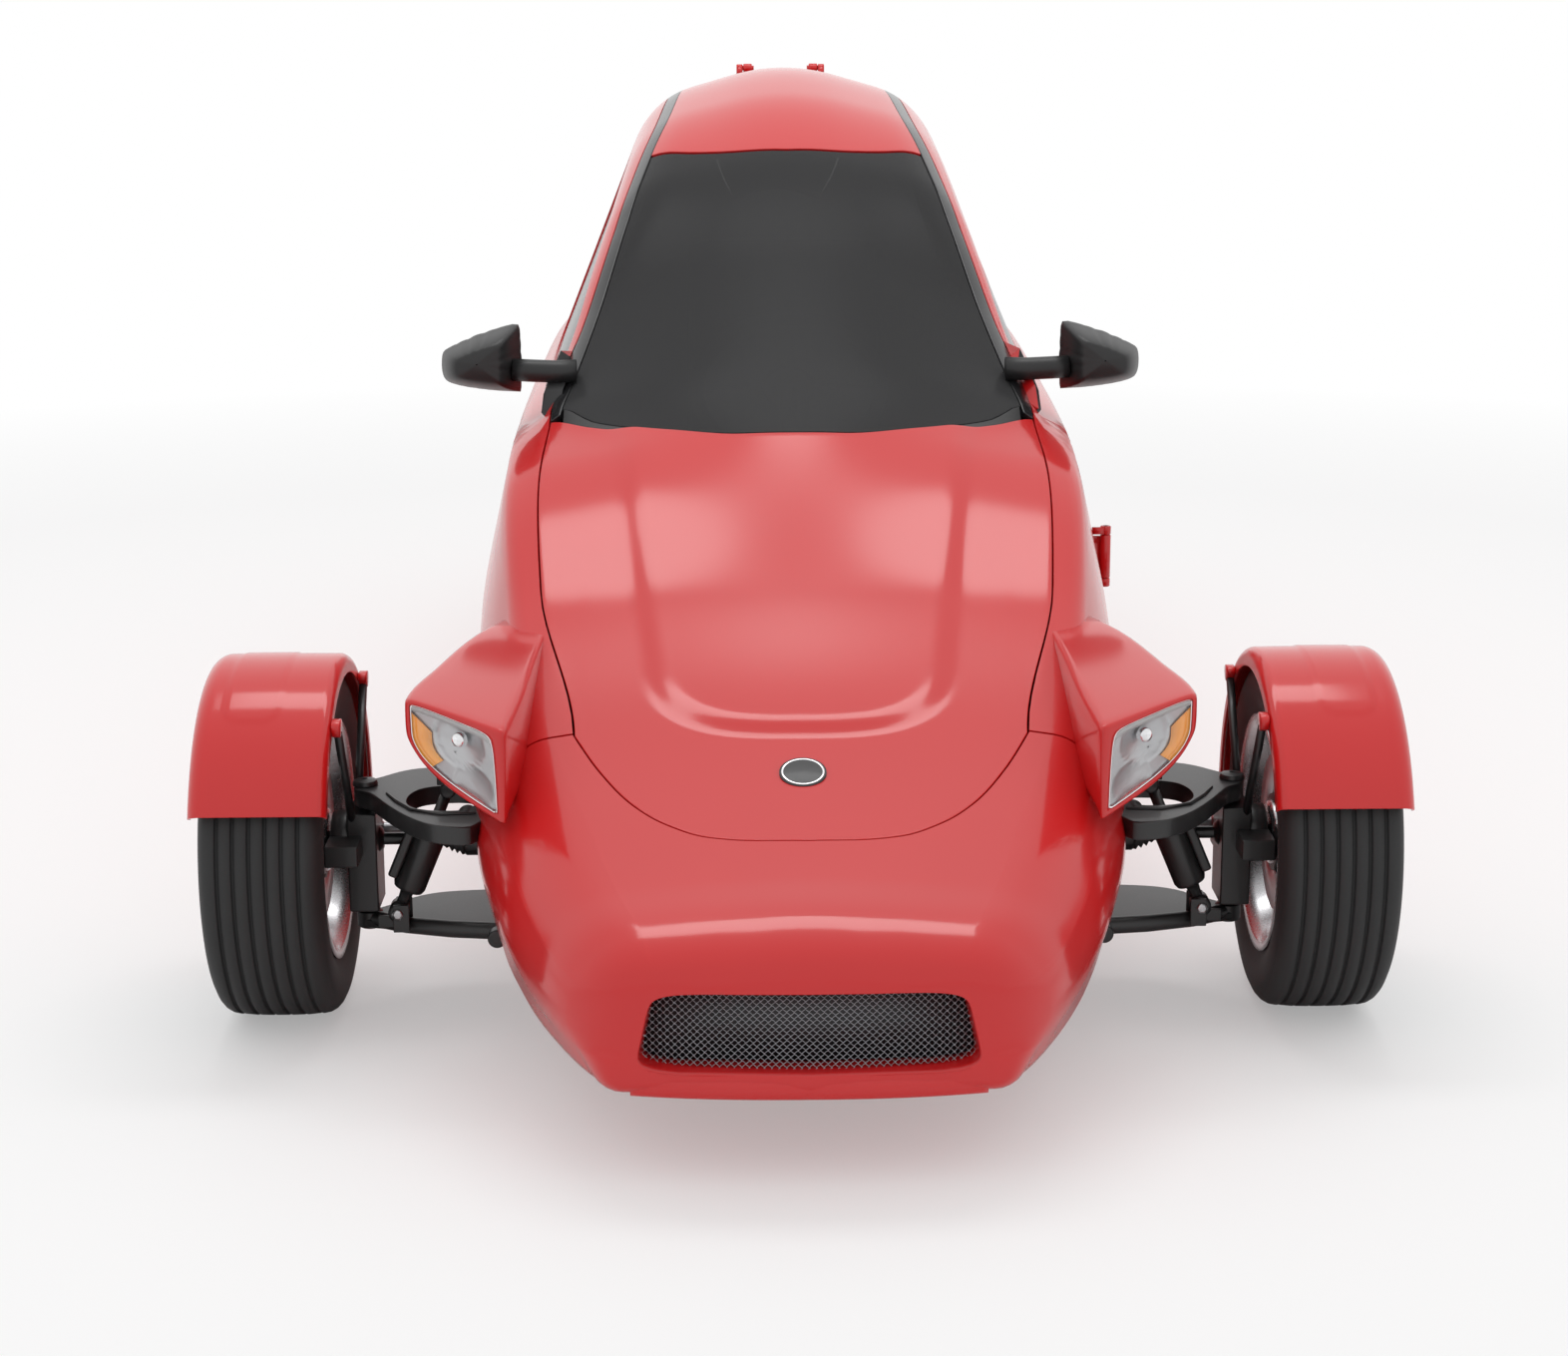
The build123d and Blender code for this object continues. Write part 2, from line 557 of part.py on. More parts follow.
    foot, head = Vector(600, -45, LOWER_ARM[1] + 14 + SEAT), Vector(521, -45, 364 - 12 - SEAT)
    along = head - foot
    shock = rod(foot, head, 8) + rod(foot + along * 0.14, foot + along * 0.66, 22)
    shock = shock + rod(foot + along * 0.72, foot + along * 0.78, 18)
    shock = shock + rod(foot + Vector(0, -14, 0), foot + Vector(0, 14, 0), 14)
    shock = shock + rod(head + Vector(0, -12, 0), head + Vector(0, 12, 0), 12)
    parts["shocks"] = pair(shock)

    shaft = rod((420, 0, WHEEL_Z), (KINGPIN_X, 0, WHEEL_Z), SHAFT_R)
    shaft = shaft + Pos(KINGPIN_X, 0, WHEEL_Z) * Sphere(BALL_R) + rod((420, 0, WHEEL_Z), (530, 0, WHEEL_Z), 26)
    shaft = shaft - skin
    parts["half_shafts"] = pair(shaft.solids().sort_by(SortBy.VOLUME)[-1])

    bar = tube_x(-642, 642, STEER_ARM, RACK_Z, 9)
    for s in (-1, 1):
        bar = bar + Pos(s * KINGPIN_X, STEER_ARM, RACK_Z) * Sphere(14)
    parts["rack_bar"] = bar
    housing = tube_x(-320, 320, STEER_ARM, RACK_Z, 24, 9 + SEAT)
    for s in (-1, 1):
        housing = housing + (block(s * 200 - 20, s * 200 + 20, 100, 136, 158.6, 232)
                             - tube_x(-330, 330, STEER_ARM, RACK_Z, 20))
    parts["rack_housing"] = housing

    arm = block(104, 124, 2484, 2830, 246, 286)
    arm = arm - block(90, 130, 2834, 2900, 200, 300)
    fork = arm + flip(arm) + tube_x(-124, 124, 2502, 266, 17)
    fork = fork + tube_x(-124, 124, WHEELBASE, WHEEL_Z, 12)
    parts["swing_arm"] = fork + tube_x(-132.4, 132.4, 2502, 266, 12)
    outline = [(REAR_WELL[0] + SEAT, 176), (REAR_WELL[1] - SEAT, 318), (REAR_WELL[1] - SEAT, WELL_TOP),
               (REAR_WELL[0] + SEAT, WELL_TOP)]
    liner = side_prism(outline, -WELL_HALF + SEAT, WELL_HALF - SEAT)
    w = WELL_WALL + SEAT
    parts["rear_wheel_well"] = liner - block(-WELL_HALF + w, WELL_HALF - w, REAR_WELL[0] + w,
                                             REAR_WELL[1] - w, 0, WELL_TOP - WELL_WALL)


def add_cabin(parts):
    """Engine block, dashboard, steering wheel and seats."""
    parts["engine_block"] = block(-230, 230, -260, 80, 158.6, 380)
    cavity = body_form(WALL + SEAT)
    bases = [cavity & block(-190, 190, 1250, 1650, 100, 262), cavity & block(-190, 190, 2010, 2350, 100, 262)]
    parts["seat_bases"] = Compound(children=bases)
    dash = cavity & block(-600, 600, 520, 640, 640, 745)
    dash = dash + block(-180, 180, 630, 760, 690, 745)
    low, top = Vector(0, 160, 268.4), Vector(0, COLUMN_TOP[0], COLUMN_TOP[1])
    dash = dash + block(-30, 30, 590, 620, 500, 645)
    parts["dashboard"] = dash - rod(low, top, 14.6)
    parts["steering_column"] = rod(low, top, 14)
    along = (top - low).normalized()
    plane = Plane(origin=top + along * 0.3, z_dir=along)
    octagon = [(165 + 13 * cos(radians(45 * i + 22.5)), 13 * sin(radians(45 * i + 22.5))) for i in range(8)]
    rim_face = Face(Wire.make_polygon([Vector(r, 0, h) for r, h in octagon], close=True))
    wheel = plane * Solid.revolve(rim_face, 360, Axis.Z)
    wheel = wheel + plane * Cylinder(45, 24, align=(Align.CENTER, Align.CENTER, Align.MIN))
    for angle in (0, 180, 270):
        spoke = Box(165, 26, 10, align=(Align.MIN, Align.CENTER, Align.MIN))
        wheel = wheel + plane * (Rot(0, 0, angle) * spoke)
    parts["steering_wheel"] = wheel
    front_cushion = side_prism([(1230, 262.4), (1640, 262.4), (1640, 392), (1240, 412), (1222, 390)],
                                             -210, 210)
    front_back = side_prism([(1641, 262.4), (1742, 262.4), (1880, 800), (1892, 990), (1830, 1000),
                                           (1780, 790)], -200, 200)
    rear_cushion = side_prism([(2000, 262.4), (2340, 262.4), (2340, 382), (2000, 400)], -195, 195)
    rear_back = side_prism([(2341, 262.4), (2436, 262.4), (2470, 560), (2560, 930), (2500, 940)], -190, 190)
    parts["seat_cushions"] = Compound(children=[front_cushion, rear_cushion])
    parts["seat_backs"] = Compound(children=[front_back, rear_back])


BADGE_R = 33.0
MIRROR_X = (458.0, 592.0)


def main():
    parts = {}
    add_bodywork(parts)
    add_hinges(parts)
    add_lamps(parts)
    add_running_gear(parts)
    add_cabin(parts)
    os.makedirs("parts", exist_ok=True)
    for name, shape in parts.items():
        print(name, round(shape.volume / 1e6, 2), len(shape.solids()), shape.is_valid)
        placed = [Pos(0, AXLE_Y, 0) * solid for solid in shape.solids()]
        export_step(placed[0] if len(placed) == 1 else Compound(children=placed), f"parts/{name}.step")


if __name__ == "__main__":
    main()
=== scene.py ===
"""Looks of the enclosed three-wheeled car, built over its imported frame.

Metres, +Z up, -Y is the way the car drives, +X is the car's own left side. Tables are in
millimetres with places along the car given behind the front axle, as in the part's source,
and Form.place turns them into the frame.
"""

import logging
import math
from dataclasses import dataclass, field
from enum import Enum
from typing import Callable, Optional, Sequence, Union

import bmesh
import bpy
import numpy as np
from mathutils import Matrix, Vector


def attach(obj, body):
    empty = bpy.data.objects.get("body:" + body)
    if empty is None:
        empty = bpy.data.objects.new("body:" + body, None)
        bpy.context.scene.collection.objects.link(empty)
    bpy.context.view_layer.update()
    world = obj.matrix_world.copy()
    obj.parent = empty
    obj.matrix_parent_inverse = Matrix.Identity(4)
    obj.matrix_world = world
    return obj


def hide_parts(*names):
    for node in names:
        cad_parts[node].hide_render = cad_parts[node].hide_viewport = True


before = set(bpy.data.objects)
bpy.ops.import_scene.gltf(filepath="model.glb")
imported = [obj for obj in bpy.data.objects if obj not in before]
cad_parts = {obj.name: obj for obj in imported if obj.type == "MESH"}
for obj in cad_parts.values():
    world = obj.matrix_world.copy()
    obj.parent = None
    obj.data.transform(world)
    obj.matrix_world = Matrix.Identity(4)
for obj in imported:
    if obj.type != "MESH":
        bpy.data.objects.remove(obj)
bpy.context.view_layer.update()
LOG = logging.getLogger("three_wheeler")
Array = np.ndarray
Patch = tuple[Array, Array]
Table = Sequence[tuple[float, float]]
Level = Callable[[Array], Array]
Line = Callable[[Array, Array], Array]

AXLE_Y = -1328.0
WHEELBASE = 2794.0
WHEEL_X = 773.0
WHEEL_Z = 262.0
NOSE_SEAM = -640.0
HOOD_CORNER = (326.0, -172.0)
HATCH_PANE = (2150.0, 2760.0)
LAMP_STEPS = 120
FLOOR_TURN = -0.5
WIDEST_TURN = 1.25
CROWN_TURN = 5.25

BODY = np.array([
    # from_axle, z_sill, x_sill, z_wide, x_wide, z_shoulder, x_shoulder, z_foot, x_foot, z_roof, x_roof, z_top
    (-712, 116, 196, 200, 200, 262, 164, 267, 125, 271, 80, 275),
    (-690, 113, 236, 205, 272, 296, 224, 302, 170, 307, 110, 311),
    (-640, 112, 272, 218, 330, 320, 272, 328, 205, 336, 130, 343),
    (-540, 114, 322, 240, 380, 344, 318, 352, 240, 360, 150, 366),
    (-400, 118, 376, 290, 432, 382, 352, 391, 280, 399, 170, 405),
    (-200, 122, 422, 330, 474, 445, 388, 455, 320, 465, 190, 471),
    (100, 128, 442, 420, 496, 572, 430, 585, 378, 597, 230, 607),
    (460, 132, 448, 505, 516, 742, 464, 762, 414, 784, 260, 798),
    (640, 134, 450, 525, 522, 776, 464, 796, 420, 832, 390, 914),
    (850, 136, 450, 545, 528, 790, 464, 814, 428, 944, 362, 1051),
    (1100, 138, 448, 560, 530, 800, 464, 826, 434, 1165, 290, 1216),
    (1350, 140, 444, 570, 528, 812, 462, 838, 434, 1254, 266, 1308),
    (1650, 142, 436, 578, 520, 826, 456, 850, 430, 1286, 258, 1344),
    (2050, 146, 404, 590, 488, 842, 425, 866, 402, 1266, 240, 1324),
    (2450, 170, 340, 605, 430, 852, 375, 876, 352, 1188, 212, 1243),
    (2850, 240, 252, 625, 340, 858, 298, 880, 275, 1060, 172, 1106),
    (3150, 320, 184, 640, 258, 850, 225, 868, 208, 958, 132, 994),
    (3368, 430, 120, 640, 176, 795, 150, 812, 138, 846, 95, 864),
], float)


def smooth_columns(knots: Array, values: Array, at: Array) -> Array:
    """Smooth curve through each column of a table, with no overshoot between its rows.

    Cubic Hermite pieces whose slope at a row is the harmonic mean of its neighbours' slopes,
    and zero where they differ in sign.

    Args:
        knots: The rows' places, rising.
        values: One row for each knot, one column for each curve.
        at: Places to evaluate, of any shape.

    Returns:
        Values with at's shape and one more axis for the columns.
    """
    step = np.diff(knots)[:, None]
    rise = np.diff(values, axis=0) / step
    slope = np.zeros_like(values)
    left, right = rise[:-1], rise[1:]
    w1, w2 = 2 * step[1:] + step[:-1], step[1:] + 2 * step[:-1]
    same = left * right > 0
    safe_left, safe_right = np.where(same, left, 1.0), np.where(same, right, 1.0)
    slope[1:-1] = np.where(same, (w1 + w2) / (w1 / safe_left + w2 / safe_right), 0.0)
    slope[0], slope[-1] = rise[0], rise[-1]
    flat = np.clip(np.asarray(at, float).ravel(), knots[0], knots[-1])
    i = np.clip(np.searchsorted(knots, flat, side="right") - 1, 0, len(knots) - 2)
    h = (knots[i + 1] - knots[i])[:, None]
    t = ((flat - knots[i]) / h[:, 0])[:, None]
    h00, h10 = 2 * t**3 - 3 * t**2 + 1, t**3 - 2 * t**2 + t
    h01, h11 = -2 * t**3 + 3 * t**2, t**3 - t**2
    out = h00 * values[i] + h10 * h * slope[i] + h01 * values[i + 1] + h11 * h * slope[i + 1]
    return out.reshape(np.shape(at) + (values.shape[1],))


def table(rows: Table, smooth: bool = True) -> Level:
    """A function of one variable through (place, value) rows.

    Args:
        rows: Rising places and their values.
        smooth: Curved through the rows, or straight between them.

    Returns:
        The function, which takes and gives arrays.
    """
    data = np.array(rows, float)
    if smooth:
        return lambda at: smooth_columns(data[:, 0], data[:, 1:2], at)[..., 0]
    return lambda at: np.interp(at, data[:, 0], data[:, 1])


@dataclass
class Form:
    """The body's outer surface, a function of the place along the car and a turn parameter.

    The turn t runs up one half of a cross-section: -0.5 at the middle of the floor, 0 at the
    sill, then corner k's arc over [k, k + 0.5] and the straight run after it over
    [k + 0.5, k + 1], and 5.25 at the middle of the crown.
    """

    rows: Array = field(default_factory=lambda: BODY)
    shares: tuple[float, ...] = (0.21, 0.25, 0.35, 0.10, 0.294, 0.40)
    nose_shares: tuple[float, ...] = (0.0, 0.17, 0.50, 0.0, 0.0, 0.0)
    crown_share: float = 0.795
    inset: float = 0.0

    def corners(self, y: Array) -> Array:
        """Corner points of the half section at y, with the mirrored one before and after.

        Args:
            y: Places behind the front axle, as a flat array.

        Returns:
            Array of shape (places, 8, 2) of (x, z).
        """
        v = smooth_columns(self.rows[:, 0], self.rows[:, 1:], y)
        z = v[:, 0::2].copy()
        x = v[:, 1::2].copy()
        n, d = len(y), self.inset
        c = np.zeros((n, 8, 2))
        c[:, 1:6, 0] = x - d
        c[:, 1:6, 1] = z[:, :5]
        c[:, 1, 1] += d
        c[:, 3:6, 1] -= d
        top = z[:, 5] - d
        c[:, 6, 1] = c[:, 5, 1] + (top - c[:, 5, 1]) / self.crown_share
        c[:, 0] = c[:, 1] * (-1, 1)
        c[:, 7] = c[:, 5] * (-1, 1)
        return c

    def at(self, y: Array, t: Array) -> Array:
        """Points on the surface.

        A corner's arc is a circle tangent to both of its runs, written as a rational
        quadratic curve whose middle weight is the sine of half the corner's angle.

        Args:
            y: Places behind the front axle.
            t: Turn parameters, of the same shape.

        Returns:
            Points (x, from_axle, z) with one more axis than y.
        """
        shape = np.shape(y)
        yy, tt = np.ravel(y).astype(float), np.clip(np.ravel(t).astype(float), FLOOR_TURN, CROWN_TURN)
        c = self.corners(yy)
        k = np.clip(np.floor(tt), -1, 5).astype(int)
        line = (tt - k) >= 0.5
        rows = np.arange(len(yy))

        def arc(corner: Array) -> tuple[Array, Array, Array, Array]:
            """Start, corner point, end and weight of a corner's arc."""
            i = corner + 1
            here, back, ahead = c[rows, i], c[rows, i - 1] - c[rows, i], c[rows, i + 1] - c[rows, i]
            lb, la = np.linalg.norm(back, axis=1), np.linalg.norm(ahead, axis=1)
            ahead_share = np.clip((-yy - 100.0) / 300.0, 0.0, 1.0)
            share = np.array(self.shares)[corner] + ahead_share * np.array(self.nose_shares)[corner]
            reach = (share * np.minimum(lb, la))[:, None]
            u, w = back / lb[:, None], ahead / la[:, None]
            cosine = np.clip((u * w).sum(1), -1, 1)
            return here + u * reach, here, here + w * reach, np.sqrt((1 - cosine) / 2)

        corner = np.clip(k, 0, 5)
        start, middle, end, weight = arc(corner)
        s = np.clip((tt - corner) * 2, 0, 1)[:, None]
        w = weight[:, None]
        bottom = (1 - s) ** 2 + 2 * s * (1 - s) * w + s**2
        on_arc = ((1 - s) ** 2 * start + 2 * s * (1 - s) * w * middle + s**2 * end) / bottom
        following = np.clip(k + 1, 0, 5)
        next_start = arc(following)[0]
        f = np.clip((tt - k - 0.5) * 2, 0, 1)[:, None]
        floor_start = np.stack([np.zeros(len(yy)), c[:, 1, 1]], 1)
        from_point = np.where((k < 0)[:, None], floor_start, end)
        on_line = from_point * (1 - f) + next_start * f
        xz = np.where(line[:, None], on_line, on_arc)
        out = np.stack([xz[:, 0], yy, xz[:, 1]], 1)
        return out.reshape(shape + (3,))

    def at_width(self, y: Array, half_width: Array) -> Array:
        """Turn above the widest point at which the section has a given half width."""
        return self.turn_of(y, half_width, 0, WIDEST_TURN, CROWN_TURN)

    def at_height(self, y: Array, height: Array) -> Array:
        """Turn at which the section has a given height."""
        return self.turn_of(y, height, 2, 0.0, 5.2)

    def turn_of(self, y: Array, value: Array, axis: int, low: float, high: float) -> Array:
        """Turn parameter at which x or z has a given value, found by halving.

        Args:
            y: Places behind the front axle.
            value: Wanted half width or height.
            axis: 0 for x, which falls with the turn above the widest point, or 2 for z, which rises.
            low: Lowest turn to look at.
            high: Highest turn to look at.

        Returns:
            Turn parameters of y's shape.
        """
        a, b = np.full(np.shape(y), low), np.full(np.shape(y), high)
        for _ in range(26):
            m = (a + b) / 2
            got = self.at(y, m)[..., axis]
            below = got > value if axis == 0 else got < value
            a, b = np.where(below, m, a), np.where(below, b, m)
        return (a + b) / 2

    def place(self, points: Array) -> Array:
        """Points in millimetres behind the front axle, moved into the frame in metres."""
        return (points + (0.0, AXLE_Y, 0.0)) / 1000.0


FORM = Form()


class Socket:
    """A shader value that adds Math nodes when it is used in an expression."""

    def __init__(self, kit: "NodeKit", link: bpy.types.NodeSocket) -> None:
        self.kit = kit
        self.link = link

    def _math(self, operation: str, *values: object) -> "Socket":
        """Adds one Math node and returns its result."""
        return self.kit.node("ShaderNodeMath", {"operation": operation}, dict(enumerate(values)))

    def __add__(self, other: object) -> "Socket":
        """Sum."""
        return self._math("ADD", self, other)

    def __radd__(self, other: object) -> "Socket":
        """Sum, reflected."""
        return self._math("ADD", other, self)

    def __sub__(self, other: object) -> "Socket":
        """Difference."""
        return self._math("SUBTRACT", self, other)

    def __rsub__(self, other: object) -> "Socket":
        """Difference, reflected."""
        return self._math("SUBTRACT", other, self)

    def __mul__(self, other: object) -> "Socket":
        """Product."""
        return self._math("MULTIPLY", self, other)

    def __rmul__(self, other: object) -> "Socket":
        """Product, reflected."""
        return self._math("MULTIPLY", other, self)

    def __pow__(self, other: object) -> "Socket":
        """Power."""
        return self._math("POWER", self, other)

    def smallest(self, other: object) -> "Socket":
        """Lesser of the two."""
        return self._math("MINIMUM", self, other)

    def largest(self, other: object) -> "Socket":
        """Greater of the two."""
        return self._math("MAXIMUM", self, other)


class NodeKit:
    """Builds the node tree of a material or of the world."""

    def __init__(self, owner: Union[bpy.types.Material, bpy.types.World]) -> None:
        """Opens the owner's tree with the shader and the output that it starts with."""
        owner.use_nodes = True
        self.tree = owner.node_tree
        self.shader, self.end = sorted(self.tree.nodes, key=lambda node: node.name.endswith("Output"))

    def node(self, kind: str, settings: dict, inputs: dict, output: Union[int, str] = 0) -> Socket:
        """Adds a node.

        Args:
            kind: The node's type.
            settings: Attributes set first.
            inputs: Socket index or name to a value or a Socket.
            output: Which output to return.

        Returns:
            The chosen output, wrapped.
        """
        node = self.tree.nodes.new(kind)
        for key, value in settings.items():
            setattr(node, key, value)
        for key, value in inputs.items():
            self.feed(node.inputs[key], value)
        return Socket(self, node.outputs[output])

    def feed(self, socket: bpy.types.NodeSocket, value: object) -> None:
        """Links a Socket to an input, or sets the input's value."""
        if isinstance(value, Socket):
            self.tree.links.new(value.link, socket)
        else:
            socket.default_value = value

    def set(self, **inputs: object) -> None:
        """Sets the Principled shader's inputs, with underscores for spaces in their names."""
        for key, value in inputs.items():
            self.feed(self.shader.inputs[key.replace("_", " ")], value)

    def point(self, kind: str = "Object") -> Socket:
        """Object coordinates, or another kind."""
        return self.node("ShaderNodeTexCoord", {}, {}, kind)

    def axis(self, index: int, kind: str = "Object") -> Socket:
        """One of the three coordinates."""
        return self.node("ShaderNodeSeparateXYZ", {}, {0: self.point(kind)}, index)

    def ray(self, kind: str) -> Socket:
        """1 for rays of a kind, else 0."""
        return self.node("ShaderNodeLightPath", {}, {}, f"Is {kind} Ray")

    def blend(self, amount: Socket, first: Socket, second: Socket) -> None:
        """Ends the tree in a mix of two shaders."""
        self.feed(self.end.inputs[0], self.node("ShaderNodeMixShader", {}, {0: amount, 1: first, 2: second}))

    def noise(self, scale: float, detail: float = 3.0, roughness: float = 0.5) -> Socket:
        """Cloudy value from 0 to 1 with features of about 1/scale metres."""
        inputs = {"Vector": self.point(), "Scale": scale, "Detail": detail, "Roughness": roughness}
        return self.node("ShaderNodeTexNoise", {}, inputs)

    def mix(self, amount: object, first: object, second: object) -> Socket:
        """Colour between first and second."""
        settings = {"data_type": "RGBA", "clamp_factor": True}
        return self.node("ShaderNodeMix", settings, {0: amount, 6: first, 7: second}, 2)

    def bump(self, height: Socket, strength: float, distance: float) -> Socket:
        """Surface relief from a height."""
        inputs = {"Height": height, "Strength": strength, "Distance": distance}
        return self.node("ShaderNodeBump", {}, inputs, "Normal")


@dataclass(frozen=True)
class Coat:
    """A finished material and the slot of the record that it stands for."""

    material: bpy.types.Material
    slot: str


@dataclass(frozen=True)
class Lacquer:
    """Glossy car paint: a deep base coat with faint mottling under a clear coat."""

    name: str = "lacquer_red"
    colour: tuple[float, float, float] = (0.62, 0.011, 0.012)
    deep: tuple[float, float, float] = (0.58, 0.009, 0.010)
    slot: str = "red_paint"

    def make(self) -> Coat:
        """Builds the material."""
        material = bpy.data.materials.new(self.name)
        kit = NodeKit(material)
        cloud = kit.noise(3.0, 2.0)
        flake = kit.noise(900.0, 1.0)
        colour = kit.mix(cloud, (*self.colour, 1), (*self.deep, 1))
        kit.set(Base_Color=colour, Metallic=0.0, Coat_Weight=0.9, Coat_Roughness=0.12, Coat_IOR=1.5)
        kit.set(Roughness=0.40 + flake * 0.08, IOR=1.25)
        peel = kit.noise(140.0, 2.0)
        kit.set(Normal=kit.bump(peel, 0.015, 0.0005))
        return Coat(material, self.slot)


@dataclass(frozen=True)
class Moulded:
    """Grained plastic or satin paint."""

    name: str
    colour: tuple[float, float, float]
    slot: str
    roughness: float = 0.45
    grain: float = 900.0
    relief: float = 0.08
    metallic: float = 0.0
    coat: float = 0.0

    def make(self) -> Coat:
        """Builds the material."""
        material = bpy.data.materials.new(self.name)
        kit = NodeKit(material)
        dust = kit.noise(14.0, 4.0)
        grain = kit.noise(self.grain, 2.0)
        lighter = tuple(min(1.0, c * 1.35 + 0.004) for c in self.colour)
        kit.set(Base_Color=kit.mix(dust * 0.8, (*self.colour, 1), (*lighter, 1)), Metallic=self.metallic)
        kit.set(Roughness=self.roughness - 0.05 + grain * 0.1, Coat_Weight=self.coat, Coat_Roughness=0.08)
        kit.set(Normal=kit.bump(grain, self.relief, 0.0004))
        return Coat(material, self.slot)


@dataclass(frozen=True)
class TintedGlass:
    """Grey glass seen through, with a clear surface."""

    name: str
    colour: tuple[float, float, float]
    slot: str
    alpha: float = 0.8
    roughness: float = 0.03
    ior: float = 1.28

    def make(self) -> Coat:
        """Builds the material."""
        material = bpy.data.materials.new(self.name)
        kit = NodeKit(material)
        smear = kit.noise(6.0, 2.0)
        kit.set(Base_Color=(*self.colour, 1), Roughness=self.roughness + smear * 0.02, IOR=self.ior)
        kit.set(Alpha=self.alpha + smear * 0.02, Coat_Weight=0.0)
        return Coat(material, self.slot)


class Side(Enum):
    """Which half of the car a piece is on."""

    LEFT = 1
    RIGHT = -1


def grid_faces(mask: Array) -> Array:
    """Quads of a grid of points.

    Args:
        mask: True for each cell that is kept, with one row and column fewer than the points.

    Returns:
        Corner indices, one row for each quad, for points numbered row by row.
    """
    nu, nv = mask.shape
    index = np.arange((nu + 1) * (nv + 1)).reshape(nu + 1, nv + 1)
    quads = np.stack([index[:-1, :-1], index[1:, :-1], index[1:, 1:], index[:-1, 1:]], -1)
    return quads[mask]


def sheet(points: Array) -> Patch:
    """A grid of points with all its quads."""
    return points, grid_faces(np.ones(np.array(points.shape[:2]) - 1, bool))


def mesh_object(name: str, patch: Patch, body: str, coats: Sequence[Coat], replaces: Sequence[str] = (),
                weld: float = 0.0, slot: str = "") -> bpy.types.Object:
    """Makes a piece from points and faces, and puts it on its body.

    Args:
        name: The piece's name.
        patch: Points in millimetres behind the front axle, and faces of three or four corners.
        body: The body it rides on.
        coats: Its finishes, the first on every face.
        replaces: CAD nodes it stands for.
        weld: Distance under which points are merged, in metres.
        slot: The record's slot, where it isn't the first finish's own; not used.

    Returns:
        The object.
    """
    points, faces = patch
    mesh = bpy.data.meshes.new(name)
    places = FORM.place(points).reshape(-1, 3)
    mesh.from_pydata(places.tolist(), [], [list(dict.fromkeys(f)) for f in faces.tolist()])
    mesh.validate()
    mesh.update()
    piece = bpy.data.objects.new(name, mesh)
    bpy.context.scene.collection.objects.link(piece)
    for coat in coats:
        mesh.materials.append(coat.material)
    if weld > 0:
        work = bmesh.new()
        work.from_mesh(mesh)
        bmesh.ops.remove_doubles(work, verts=work.verts, dist=weld)
        work.to_mesh(mesh)
        work.free()
    mesh.polygons.foreach_set("use_smooth", np.ones(len(mesh.polygons), bool))
    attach(piece, body)
    slot or coats[0].slot
    if replaces:
        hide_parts(*replaces)
    LOG.info("%s: %d faces on %s", name, len(mesh.polygons), body)
    return piece


def round_edges(piece: bpy.types.Object, width: float, segments: int, angle: float) -> None:
    """Adds a bevel to the edges that are sharper than an angle in degrees."""
    edge = piece.modifiers.new("Rounding", "BEVEL")
    edge.width = width
    edge.segments = segments
    edge.limit_method = "ANGLE"
    edge.angle_limit = math.radians(angle)
    edge.harden_normals = False


def shade_even(piece: bpy.types.Object) -> None:
    """Makes large faces lead the shading."""
    even = piece.modifiers.new("Shading", "WEIGHTED_NORMAL")
    even.keep_sharp = False
    even.weight = 80


def thicken(piece: bpy.types.Object, thickness: float, bevel: float = 0.0, inner: int = 0, segments: int = 2,
            offset: float = -1.0) -> None:
    """Gives a sheet its thickness, inwards, and rounds its rims.

    Args:
        piece: The sheet.
        thickness: Metres.
        bevel: Radius of the rounded rim, 0 for a plain one.
        inner: Material offset of the inner faces.
        segments: Steps of the rounding.
        offset: -1 for all of it inwards, 0 for half to each side.
    """
    solid = piece.modifiers.new("Thickness", "SOLIDIFY")
    solid.thickness = thickness
    solid.offset = offset
    solid.material_offset = inner
    if bevel > 0:
        round_edges(piece, bevel, segments, 50)
        shade_even(piece)


